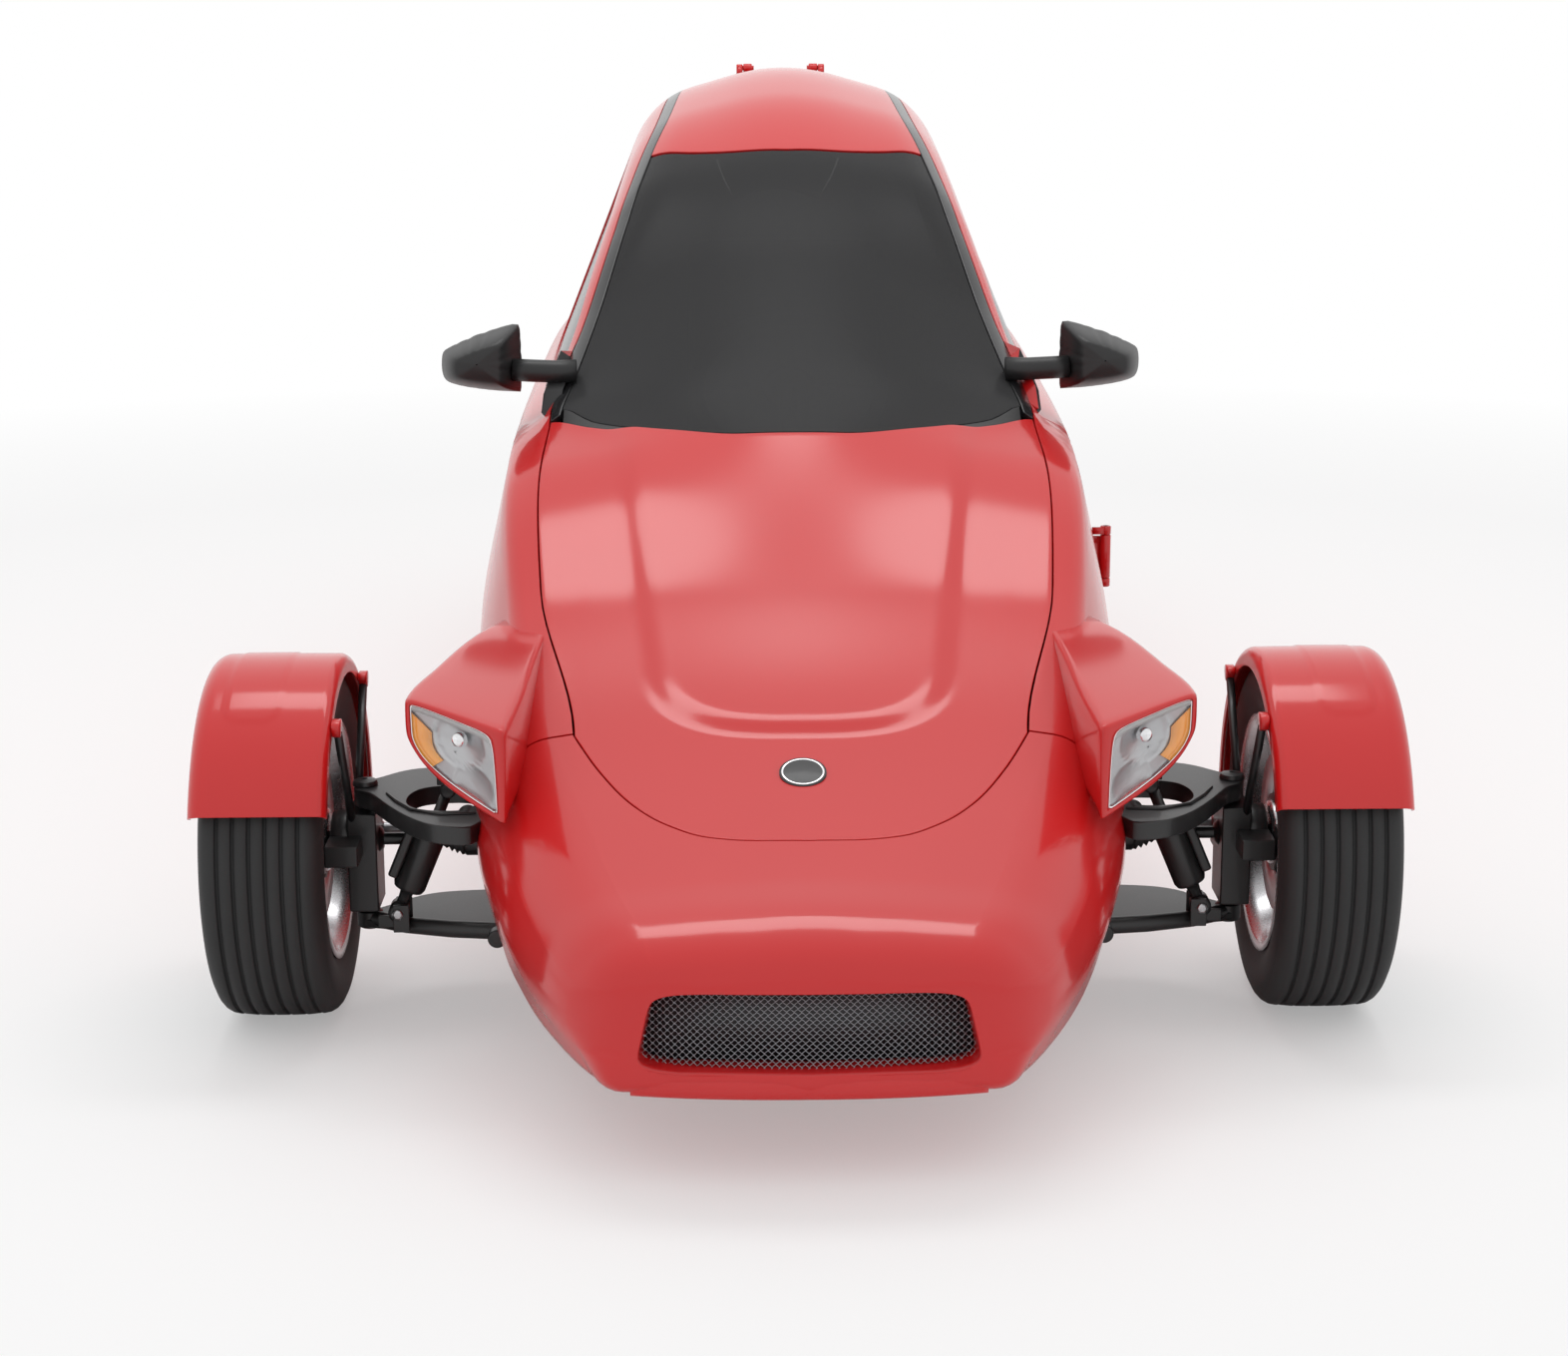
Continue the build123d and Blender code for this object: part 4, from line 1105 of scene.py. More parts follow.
def hoop(points: Array) -> Patch:
    """A grid of points whose last column joins its first, with its quads."""
    return points, closed_faces(*points.shape[:2])


def turned(profile: Table, steps: int, centre: tuple[float, float, float],
           closed: bool = True) -> Patch:
    """Surface made by turning a profile about an axis across the car.

    A profile point (a, r) becomes centre + (a, r cos, r sin).

    Args:
        profile: (along the axis, radius) points.
        steps: Steps round the axis.
        centre: A point on the axis, in (x, from_axle, z).
        closed: Whether the profile's last point joins its first.

    Returns:
        Points and faces.
    """
    prof = np.array(profile, float)
    if closed:
        prof = np.concatenate([prof, prof[:1]])
    angle = np.arange(steps) * 2 * np.pi / steps
    p = np.stack([np.broadcast_to(prof[:, :1], (len(prof), steps)), prof[:, 1:] * np.cos(angle)[None, :],
                  prof[:, 1:] * np.sin(angle)[None, :]], -1) + np.array(centre)
    return hoop(p)


def tube(path: Sequence[tuple[float, float, float]], radii: Sequence[float], sides: int = 20,
         flat: tuple[float, float] = (1.0, 1.0)) -> Patch:
    """Round rod along a line of points, closed at both ends.

    Each ring lies square to the line, in a frame carried along it.

    Args:
        path: Points of its middle line.
        radii: Radius at each point.
        sides: Points round a ring.
        flat: Scale of the ring's two directions.

    Returns:
        Points and faces.
    """
    c = np.array(path, float)
    r = np.array(radii, float)
    c = np.concatenate([c[:1], c, c[-1:]])
    r = np.concatenate([[0.001], r, [0.001]])
    way = np.gradient(c[1:-1], axis=0)
    way = way / np.linalg.norm(way, axis=1)[:, None]
    way = np.concatenate([way[:1], way, way[-1:]])
    side = np.cross(way[0], (0.0, 0.0, 1.0))
    if np.linalg.norm(side) < 0.2:
        side = np.cross(way[0], (0.0, 1.0, 0.0))
    rings = []
    angle = np.arange(sides) * 2 * np.pi / sides
    for k in range(len(c)):
        side = side - way[k] * (side @ way[k])
        side = side / np.linalg.norm(side)
        other = np.cross(way[k], side)
        rings.append(c[k] + r[k] * (np.cos(angle)[:, None] * side * flat[0] + np.sin(angle)[:, None] * other * flat[1]))
    return hoop(np.stack(rings))


def stub(start: Sequence[float], end: Sequence[float], radius: float, sides: int = 28, step: float = 1.0,
         chamfer: float = 1.0) -> Patch:
    """Straight round bar whose ends are chamfered over a step."""
    a, b = np.array(start, float), np.array(end, float)
    way = (b - a) / np.linalg.norm(b - a) * step
    return tube([a, a + way, b - way, b], [radius - chamfer, radius, radius, radius - chamfer], sides)


def brick(x0: float, x1: float, y0: float, y1: float, z0: float, z1: float) -> Patch:
    """Plain box as points and faces."""
    p = np.array([(x, y, z) for z in (z0, z1) for y in (y0, y1) for x in (x0, x1)], float)
    f = np.array([(0, 2, 3, 1), (4, 5, 7, 6), (0, 1, 5, 4), (2, 6, 7, 3), (0, 4, 6, 2), (1, 3, 7, 5)])
    return p, f


def plate(outline: Table, low: float, high: float, hole: Optional[Table] = None) -> Patch:
    """Flat plate with rounded corners and perhaps one hole, seen from above.

    Args:
        outline: Plan corners (x, from_axle) around the plate.
        low: Height of its underside.
        high: Height of its top.
        hole: Plan corners of a hole, which becomes an oval.

    Returns:
        Points and faces.
    """
    outer = corner_cut(np.array(outline, float), 2, True)
    inner = corner_cut(np.array(hole, float), 3, True) if hole is not None else None
    centre = tuple((inner if inner is not None else outer).mean(0))
    angle = np.arange(96) * 2 * np.pi / 96
    o = by_angle(outer, centre, angle)
    i = by_angle(inner, centre, angle) if inner is not None else np.array(centre) + (o - centre) * 0.002
    rim = o * 0.97 + i * 0.03
    loops = [(i, low), (rim, low), (o, low + 1.5), (o, high - 1.5), (rim, high), (i, high)]
    if inner is not None:
        loops.append((i, low))
    return hoop(np.stack([np.concatenate([loop, np.full((96, 1), z)], 1) for loop, z in loops]))


def make(name: str, patches: Sequence[Patch], body: str, coat: Coat, replaces: Sequence[str] = (),
         both: bool = False, rounding: float = 0.0, segments: int = 2, slot: str = "") -> bpy.types.Object:
    """Makes a closed piece from patches, mirrored where asked, with faces outwards.

    Args:
        name: The piece's name.
        patches: Pairs of points and faces, millimetres behind the front axle.
        body: The body it rides on.
        coat: Its finish.
        replaces: CAD nodes it stands for.
        both: Whether the other side of the car gets the mirror image.
        rounding: Bevel radius in metres, 0 for none.
        segments: Bevel steps.
        slot: The record's slot, where it isn't the finish's own.

    Returns:
        The piece.
    """
    parts = [*patches, *map(flipped, patches)] if both else patches
    piece = mesh_object(name, joined(parts), body, [coat], replaces, 0.00003, slot)
    fix_normals(piece)
    if rounding > 0:
        round_edges(piece, rounding, segments, 40)
        shade_even(piece)
    return piece


@dataclass
class Lamps:
    """Headlamp fairings, headlamps, tail lamps, the blank disc, the mirrors and the outside hinges."""

    paint: Finishes
    pod_rows: Sequence[tuple[float, ...]] = (
        (-390, 392, 556, 372, 502), (-206, 386, 562, 400, 532), (-80, 382, 530, 424, 548),
        (60, 374, 488, 452, 562), (150, 360, 452, 480, 566))
    pod_outline: Table = (
        (0.135, -0.03), (0.135, -0.03), (0.34, 0.035), (0.64, 0.15), (0.86, 0.32), (0.985, 0.54), (1.0, 0.66),
        (1.0, 0.86), (0.996, 0.975), (0.93, 1.0), (0.5, 1.0), (0.17, 1.0), (0.125, 1.0), (0.125, 0.94), (0.125, 0.5))
    pod_root: Table = (
        (0.05, 0.0), (0.05, 0.0), (0.22, 0.0), (0.64, 0.06), (0.90, 0.27), (0.99, 0.5), (1.0, 0.66),
        (1.0, 0.86), (0.996, 0.975), (0.93, 1.0), (0.5, 1.0), (0.10, 1.0), (0.05, 1.0), (0.05, 0.94), (0.05, 0.5))
    lens_outline: Table = (
        (0.205, 0.05), (0.205, 0.05), (0.43, 0.13), (0.66, 0.235), (0.86, 0.385), (0.95, 0.55), (0.955, 0.70),
        (0.958, 0.94), (0.958, 0.94), (0.85, 0.955), (0.5, 0.93), (0.29, 0.915), (0.235, 0.84), (0.215, 0.5))
    centre: tuple[float, float] = (0.58, 0.54)

    def _curve(self, outline: Table, angles: Array = np.arange(LAMP_STEPS) * 2 * np.pi / LAMP_STEPS) -> Array:
        """An outline with rounded corners, one point for each angle about the centre."""
        return by_angle(corner_cut(np.array(outline), 3, True), self.centre, angles)

    def _solid(self, ah: Array, share: float, depth: float) -> Array:
        """Turns outline fractions into points between the slanted front and the fairing's rear.

        Args:
            ah: (a, h) fractions of the fairing's width and height.
            share: 0 at the slanted front, 1 at the rear end.
            depth: Millimetres behind that.

        Returns:
            Points.
        """
        rows = np.array(self.pod_rows, float)
        x = np.full(len(ah), 470.0)
        y = np.zeros(len(ah))
        z = np.zeros(len(ah))
        for _ in range(5):
            slanted = -352.0 + (x - 388.0) * (146.0 / 178.0)
            y = slanted + share * (150.0 - slanted) + depth
            xi, xo, z0, z1 = np.moveaxis(smooth_columns(rows[:, 0], rows[:, 1:], y), -1, 0)
            x = xi + ah[:, 0] * (xo - xi)
            z = z0 + ah[:, 1] * (z1 - z0)
        return np.stack([x, y, z], -1)

    def pods(self) -> None:
        """Fairings with a rounded rim round the lens."""
        outer, root, lens = map(self._curve, (self.pod_outline, self.pod_root, self.lens_outline))
        mix = [(lens, 0.0, 30.0), (lens, 0.0, 4.0), (lens * 0.97 + outer * 0.03, 0.0, 1.0),
               (lens * 0.8 + outer * 0.2, 0.0, 0.0), (lens * 0.3 + outer * 0.7, 0.0, 0.4),
               (lens * 0.08 + outer * 0.92, 0.0, 2.4), (outer, 0.0, 7.0)]
        for s in (0.04, 0.08, 0.13, 0.18, 0.24, 0.30, 0.36, 0.48, 0.6, 0.7, 0.8, 0.9, 1.0):
            b = min(s / 0.34, 1.0) ** 0.8
            mix.append((outer * (1 - b) + root * b, s, 7.0 * (1 - s)))
        p = np.stack([self._solid(ah, s, d) for ah, s, d in mix])
        end = p[-1].mean(0)
        p = np.concatenate([p, (end + (p[-1] - end) * 0.02)[None]])
        make("pod_pair", [hoop(p)], "car", self.paint.red, ["lamp_pods"], both=True)

    def headlamps(self) -> None:
        """Lens, bright line round it, reflector with two bowls, bulb and amber strip."""
        lens = self._curve(self.lens_outline)
        centre = np.array(self.centre)

        def scaled(k: float) -> Array:
            """The lens's outline drawn in towards its centre."""
            return centre + (lens - centre) * k

        def ribbon(rows: Sequence[tuple[Array, float]]) -> Array:
            """Grid of (outline, depth) rows on the slanted front."""
            return np.stack([self._solid(ah, 0.0, depth) for ah, depth in rows])

        shares = (0.985, 0.90, 0.75, 0.55, 0.3, 0.01)
        cover = ribbon([(scaled(k), 4.0 - 5.0 * (1 - k**2)) for k in shares])
        glass = np.concatenate([cover, cover[::-1] + (0.0, 2.4, 0.0), cover[:1]])
        make("lamp_lens", [hoop(glass)], "car", self.paint.lens, ["headlamps"], both=True)
        line = [(0.995, 6.0), (0.995, 2.6), (0.965, 2.6), (0.965, 6.0), (0.995, 6.0)]
        make("lamp_line", [hoop(ribbon([(scaled(k), d) for k, d in line]))], "car", self.paint.chrome, both=True)
        rings = []
        for k in (0.975, 0.93, 0.88, 0.82, 0.76, 0.68, 0.6, 0.52, 0.44, 0.36, 0.28, 0.2, 0.12, 0.05, 0.01):
            ah = scaled(k)
            upper = 1 - np.hypot((ah[:, 0] - 0.53) * 1.3, ah[:, 1] - 0.70) / 0.27
            lower = 1 - np.hypot((ah[:, 0] - 0.42) * 1.3, ah[:, 1] - 0.26) / 0.22
            bowl = 24.0 * np.sqrt(np.clip(upper, 0, 1)) + 12.0 * np.sqrt(np.clip(lower, 0, 1))
            rings.append(self._solid(ah, 0.0, 0.0) + np.stack([0 * bowl, 9.0 + bowl, 0 * bowl], -1))
        front = np.stack(rings)
        bowls = np.concatenate([front, front[::-1] + (0.0, 1.5, 0.0), front[:1]])
        make("lamp_reflector", [hoop(bowls)], "car", self.paint.reflector, both=True)
        arc = self._curve(self.lens_outline, np.radians(np.linspace(-48, 40, 40)))
        strip = [(0.965, 4.6), (0.50, 6.0), (0.50, 8.0), (0.965, 7.0), (0.965, 4.6)]
        amber = ribbon([(centre + (arc - centre) * k, d) for k, d in strip])
        make("lamp_amber", [sheet(amber)], "car", self.paint.amber, both=True)
        edge = np.array([(0.955, 0.945), (0.85, 0.955), (0.62, 0.94), (0.42, 0.925), (0.30, 0.905), (0.245, 0.85)])
        drops = [(-0.004, 3.4), (-0.075, 3.8), (-0.075, 5.4), (-0.004, 5.0), (-0.004, 3.4)]
        band = ribbon([(corner_cut(edge, 2) + (0.0, drop), d) for drop, d in drops])
        make("lamp_band", [sheet(band)], "car", self.paint.band, both=True)
        bulb = self._solid(np.array([[0.53, 0.70]]), 0.0, 14.0)[0]
        ball = tube([bulb + (0, d, 0) for d in (-9, -8, -5, 0, 5, 10, 16)], [2, 6, 10.5, 12, 11, 8, 8], 24)
        make("lamp_bulb", [ball], "car", self.paint.chrome, both=True, slot="clear_lens")

    def badge(self) -> None:
        """Blank dark disc on the hood, domed, in a thin bright rim."""
        face = np.array([(0.2, 4.6), (8, 4.4), (16, 3.9), (22, 3.3), (26.0, 2.7), (27.4, 2.5), (27.6, 2.4), (30.4, 2.4),
                         (30.6, 2.4), (33.0, 2.2), (33.0, -6.0), (0.2, -6.0)])
        ring = np.array([(27.3, 1.8), (27.4, 3.1), (28.2, 3.5), (29.4, 3.5), (30.2, 3.1), (30.3, 1.8), (27.3, 1.8)])
        angle = np.arange(72) * 2 * np.pi / 72
        base = FORM.at(np.array([-292.0]), np.array([CROWN_TURN]))[0]
        slope = math.radians(21.5)
        along = np.array([0.0, math.cos(slope), math.sin(slope)])
        normal = np.array([0.0, -math.sin(slope), math.cos(slope)])
        around = np.cos(angle)[None, :, None] * np.array([1.0, 0, 0]) + np.sin(angle)[None, :, None] * along

        def raised(profile: Array) -> Patch:
            """A profile of (radius, height) turned about the disc's middle."""
            return hoop(base + normal + profile[:, :1, None] * around + profile[:, 1:, None] * normal)

        make("disc_blank", [raised(face)], "hood_lid", self.paint.disc, ["badge"])
        make("disc_ring", [raised(ring)], "hood_lid", self.paint.chrome)

    def mirrors(self) -> None:
        """Rounded mirror housings on short stalks, with the glass at the back."""
        outline = np.array([(-1, -0.98), (-1, -0.98), (-0.2, -0.93), (0.82, -0.74), (1.0, -0.5), (1.0, 0.1),
                            (0.88, 0.3), (-0.7, 0.97), (-0.97, 0.97), (-1, 0.9)])
        curve = by_angle(corner_cut(outline, 2, True), (0.0, 0.0), np.arange(72) * 2 * np.pi / 72)
        rows = []
        for s in (0.0, 0.02, 0.06, 0.12, 0.2, 0.32, 0.46, 0.62, 0.8, 0.93, 1.0):
            grow = (1 - (1 - s) ** 2.4) ** (1 / 2.4) * 0.36 + 0.64 * (0.62 + 0.38 * s) if s > 0 else 0.02
            grow = min(grow, 1.0) if s < 0.93 else 1.0 - 0.02 * (s - 0.93) / 0.07
            rows.append((grow, 640.0 + 94.0 * s))
        rows += [(0.93, 734.0), (0.92, 728.0), (0.01, 728.0)]
        cx, cz, hx, hz = 525.0, 893.0, 67.0, 59.0

        def shell(sizes: Table) -> Patch:
            """The outline at (size, place) rows."""
            return hoop(np.stack([np.stack([cx + hx * g * curve[:, 0], np.full(72, y), cz + hz * g * curve[:, 1]], -1)
                                  for g, y in sizes]))

        stalk = tube([(362, 692, 874), (400, 692, 874), (440, 690, 876), (470, 688, 878)], [20, 19, 19, 19], 28)
        make("mirror_housings", [shell(rows), stalk], "car", self.paint.black, ["mirrors"], both=True)
        glass = [(0.90, 727.0), (0.90, 730.0), (0.01, 730.5), (0.01, 727.0), (0.90, 727.0)]
        make("mirror_glass", [shell(glass)], "car", self.paint.chrome, both=True)

    def tail(self) -> None:
        """Tail lamps: a tall red lens over a short clear one, both in one black bezel."""
        def lens(corners: Table, rows: Sequence[tuple[float, float, float]]) -> Patch:
            """Closed body of a rounded outline from (growth, share of the outline, place) rows."""
            curve = corner_cut(np.array(corners, float).repeat(2, 0), 2, True)
            way = curve - curve.mean(0)
            way = way / np.linalg.norm(way, axis=1)[:, None]
            rings = []
            for grow, share, y in rows:
                grown = curve + way * grow
                grown = grown.mean(0) + (grown - grown.mean(0)) * share
                rings.append(np.stack([grown[:, 0], np.full(len(grown), y), grown[:, 1]], 1))
            return hoop(np.stack(rings))

        domed = [(0, 0.01, 3352.0), (0, 1.0, 3352.0), (0, 1.0, 3363.0), (-1.5, 1.0, 3365.2), (-5, 1.0, 3366.6),
                 (-8, 0.6, 3367.4), (-8, 0.01, 3367.6)]
        red = [(58, 670), (118, 676), (113, 766), (62, 770)]
        clear = [(58, 620), (112, 628), (117, 664), (58, 658)]
        bezel = [(52, 612), (120, 622), (127, 690), (118, 773), (54, 777)]
        rim = [(0, 0.01, 3354.0), (0, 1.0, 3354.0), (0, 1.0, 3362.4), (-1.2, 1.0, 3363.4), (-3, 0.98, 3363.6),
               (-3, 0.01, 3363.6)]
        make("tail_lenses", [lens(red, domed)], "car", self.paint.red_lens, ["tail_lamps"], both=True)
        make("tail_reverse_lenses", [lens(clear, domed)], "car", self.paint.reflector, both=True)
        make("tail_bezels", [lens(bezel, rim)], "car", self.paint.black, both=True)

    @staticmethod
    def strap(corners: Table, on_roof: bool) -> Patch:
        """Thin rounded hinge plate lying on the skin.

        Args:
            corners: (x, from_axle) on the roof, or (from_axle, z) on the side.
            on_roof: Which of the two.

        Returns:
            Points and faces.
        """
        outline = corner_cut(np.array(corners, float).repeat(2, 0), 2, True)
        middle = outline.mean(0)
        rings = []
        for share, lift in ((0.02, -3.0), (1.0, -3.0), (1.0, 2.4), (0.95, 3.6), (0.02, 3.8)):
            a, b = (middle + (outline - middle) * share).T
            if on_roof:
                rings.append(FORM.at(b, FORM.turn_of(b, a, 0, 2.0, 5.25)) + (0, 0, lift))
            else:
                rings.append(FORM.at(a, FORM.turn_of(a, b, 2, 0.0, 4.0)) + (lift, 0, 0))
        return hoop(np.stack(rings))

    def hinges(self) -> None:
        """Straps, barrels and pins of the door's and the hatch's outside hinges."""
        red = self.paint.red
        axis = (532, 646)
        bases = [stub((*axis, 508), (*axis, 612), 5, 20)]
        for low in (508.0, 598.0):
            bases += [stub((*axis, low), (*axis, low + 14), 9), brick(508, 528, 636, 641, low + 1, low + 13),
                      self.strap([(606, low), (640, low), (640, low + 14), (606, low + 14)], False)]
        leaf = [stub((*axis, 523), (*axis, 597), 9), brick(504, 527, 648, 654, 526, 594),
                self.strap([(651, 525), (695, 530), (695, 590), (651, 595)], False)]
        top = (2080, 1332)
        roof = [stub((79.5, *top), (92.5, *top), 8), brick(79.5, 92.5, 2070, 2076, 1316, 1334),
                self.strap([(80, 2040), (92, 2040), (92, 2074), (80, 2074)], True),
                tube([(56, *top), (80, *top)], [5, 5])]
        lid = [stub((60, *top), (78, *top), 9), brick(61, 77, 2082, 2088, 1318, 1334),
               self.strap([(60, 2084), (78, 2084), (77, 2123), (61, 2123)], True)]
        make("hinge_bases", [*bases, *roof, *map(flipped, roof)], "car", red, ["hinges"])
        make("door_hinge_strap", leaf, "door_leaf", red, ["door_hinge_leaf"])
        make("hatch_hinge_straps", lid, "hatch_lid", red, ["hatch_hinge_leaf"], both=True)

    def build(self) -> None:
        """Builds the lamps and what stands beside them."""
        self.pods()
        self.headlamps()
        self.badge()
        self.mirrors()
        self.tail()
        self.hinges()


@dataclass
class Wheels:
    """Tyres, rims, brake discs and fenders."""

    paint: Finishes
    radius: float = 262.0
    grooves: Sequence[float] = (-57.5, -34.5, -11.5, 11.5, 34.5, 57.5)

    def _tyre_profile(self) -> list[tuple[float, float]]:
        """Closed outline of the tyre, bead to bead, with the tread's grooves."""
        side = [(-76.0, 171.0), (-77.5, 178.5), (-80.5, 185.0), (-84.0, 193.0), (-87.0, 203.0), (-88.6, 213.0),
                (-89.0, 222.0), (-88.4, 231.0), (-86.6, 239.0), (-85.4, 240.5), (-84.6, 243.0), (-82.0, 248.5),
                (-77.0, 254.0), (-70.0, 258.0)]

        def crown(a: float) -> float:
            """Radius of the tread at a distance from the tyre's middle."""
            return self.radius - 4.0 * (abs(a) / 70.0) ** 3.2

        tread: list[tuple[float, float]] = []
        for g in self.grooves:
            tread += [(g - 3.4, crown(g)), (g - 3.0, crown(g) - 0.8), (g - 2.2, crown(g) - 5.5),
                      (g + 2.2, crown(g) - 5.5), (g + 3.0, crown(g) - 0.8), (g + 3.4, crown(g))]
        other = [(-a, r) for a, r in reversed(side)]
        return side + tread + other

    def _tyre(self, name: str, centre: tuple[float, float, float], body: str, node: str) -> None:
        """One tyre.

        Args:
            name: The piece's name.
            centre: Middle of the axle.
            body: The wheel's body.
            node: The CAD node it stands for.
        """
        make(name, [turned(self._tyre_profile(), 144, centre)], body, self.paint.rubber, [node])

    def _rim(self, name: str, centre: tuple[float, float, float], body: str, node: str, side: float,
             face: float, hub: tuple[float, float], disc: bool) -> None:
        """One alloy rim with ten spokes, a hub and a brake disc.

        Args:
            name: The piece's name.
            centre: Middle of the axle.
            body: The wheel's body.
            node: The CAD node it stands for.
            side: +1 where the wheel's face looks to +X, else -1.
            face: How far the spokes stand out of the middle.
            hub: The hub's two ends.
            disc: Whether there is a brake disc.
        """
        barrel = [(-82, 179), (-82, 170), (-77, 164), (-62, 161), (-30, 144), (30, 144), (62, 161), (77, 164),
                  (82, 170), (82, 179), (78.5, 179), (76.4, 169.6), (60, 167), (30, 149), (-30, 149), (-60, 167),
                  (-76.4, 169.6), (-78.5, 179)]
        parts = [turned([(side * a, r) for a, r in barrel], 96, centre)]
        hub_profile = [(hub[0], 13.0), (hub[0], 46.0), (hub[0] + 6, 50.0), (face - 4, 50.0), (face + 6, 44.0),
                       (hub[1] - 3, 30.0), (hub[1], 26.0), (hub[1], 13.0)]
        parts.append(turned([(side * a, r) for a, r in hub_profile], 60, centre))
        for i in range(10):
            angle = 2 * np.pi * i / 10
            radial = np.array([0.0, math.cos(angle), math.sin(angle)])
            rows = []
            for r, out in ((40, 2), (60, 5), (85, 3), (110, -2), (132, -9), (150, -16)):
                rows.append(np.array(centre) + radial * r + np.array([side * (face + out), 0, 0]))
            parts.append(tube(rows, [11, 10, 9.2, 9, 9.6, 12], 14, (1.1, 0.62)))
        make(name, parts, body, self.paint.alloy, [node])
        cap = [(face + 2, 0.3), (face + 2, 26), (face + 9, 27), (face + 12, 24), (face + 13.5, 12), (face + 14, 0.3)]
        make(name + "_cap", [turned([(side * a, r) for a, r in cap], 48, centre, closed=False)], body,
             self.paint.black)
        if disc:
            ring = [(-57, 56), (-57, 119), (-56, 120), (-48, 120), (-47, 119), (-47, 56)]
            hat = [(-60, 40), (-60, 58), (-40, 58), (-40, 40)]
            make(name + "_disc", [turned([(side * a, r) for a, r in ring], 72, centre)], body, self.paint.steel)
            make(name + "_hat", [turned([(side * a, r) for a, r in hat], 48, centre)], body, self.paint.black,
                 slot="black_steel")

    def _fender(self, name: str, sign: float, body: str, node: str) -> None:
        """One cycle fender with a raised panel on its top.

        The section runs from one lip over the crown to the other; the raised panel is a
        smooth step inside a rounded U.

        Args:
            name: The piece's name.
            sign: Side of the car.
            body: The upright's body.
            node: The CAD node it stands for.
        """
        half = 99.0
        u = np.concatenate([[-1.0] * 4, np.sin(np.linspace(-1, 1, 71) * np.pi / 2), [1.0] * 4])
        x = u * half
        soft = np.where(u > 0, 26.0, 15.0)
        edge = np.clip((np.abs(x) - (half - soft)) / soft, 0, 1)
        base = 279.6 - soft * (1 - np.sqrt(np.clip(1 - edge**2, 0, 1))) + 0.8 * (1 - u**2)
        base[:4] = (251.0, 255.0, 259.0, 262.5)
        base[-4:] = (253.0, 252.4, 251.7, 251.0)
        angle = np.radians(np.linspace(23.0, 178.0, 121))
        arc = (np.degrees(angle)[:, None] - 53.0) * (np.pi / 180) * 281.0
        ahead = np.maximum(0.0, 30.0 - arc) / 30.0
        radius = (np.abs((x[None, :] - 15.0) / 42.0) ** 3.4 + ahead**3.0) ** (1 / 3.2)
        s = np.clip((1 - radius) * 42.0 / 6.0, 0, 1)
        r = base[None, :] + 1.3 * s * s * (3 - 2 * s)
        p = np.stack([np.broadcast_to(sign * (WHEEL_X + x)[None, :], r.shape), -r * np.cos(angle)[:, None],
                      WHEEL_Z + r * np.sin(angle)[:, None]], -1)
        points, faces = sheet(p)
        patch = (points, faces[:, ::int(sign)])
        skin = mesh_object(name, patch, body, [self.paint.red, self.paint.trim], [node])
        crown = skin.data.polygons[60 * (len(u) - 1) + len(u) // 2]
        if crown.normal[2] < 0:
            skin.data.flip_normals()
        thicken(skin, 0.004, 0.0012)

    def build(self) -> None:
        """Builds the three wheels and the two fenders."""
        for side in Side:
            label, sign = side.name.lower(), float(side.value)
            centre = (sign * WHEEL_X, 0.0, WHEEL_Z)
            self._tyre(f"tread_{label}", centre, f"wheel_{label}", f"tyre_front_{label}")
            self._rim(f"wheel_rim_{label}", centre, f"wheel_{label}", f"rim_front_{label}", sign, 30.0, (-67.0, 46.0),
                      True)
            self._fender(f"fender_skin_{label}", sign, f"upright_{label}", f"fender_{label}")
        rear = (0.0, WHEELBASE, WHEEL_Z)
        self._tyre("tread_rear", rear, "wheel_rear", "tyre_rear")
        self._rim("wheel_rim_rear", rear, "wheel_rear", "rim_rear", 1.0, -7.0, (-92.0, 92.0), False)


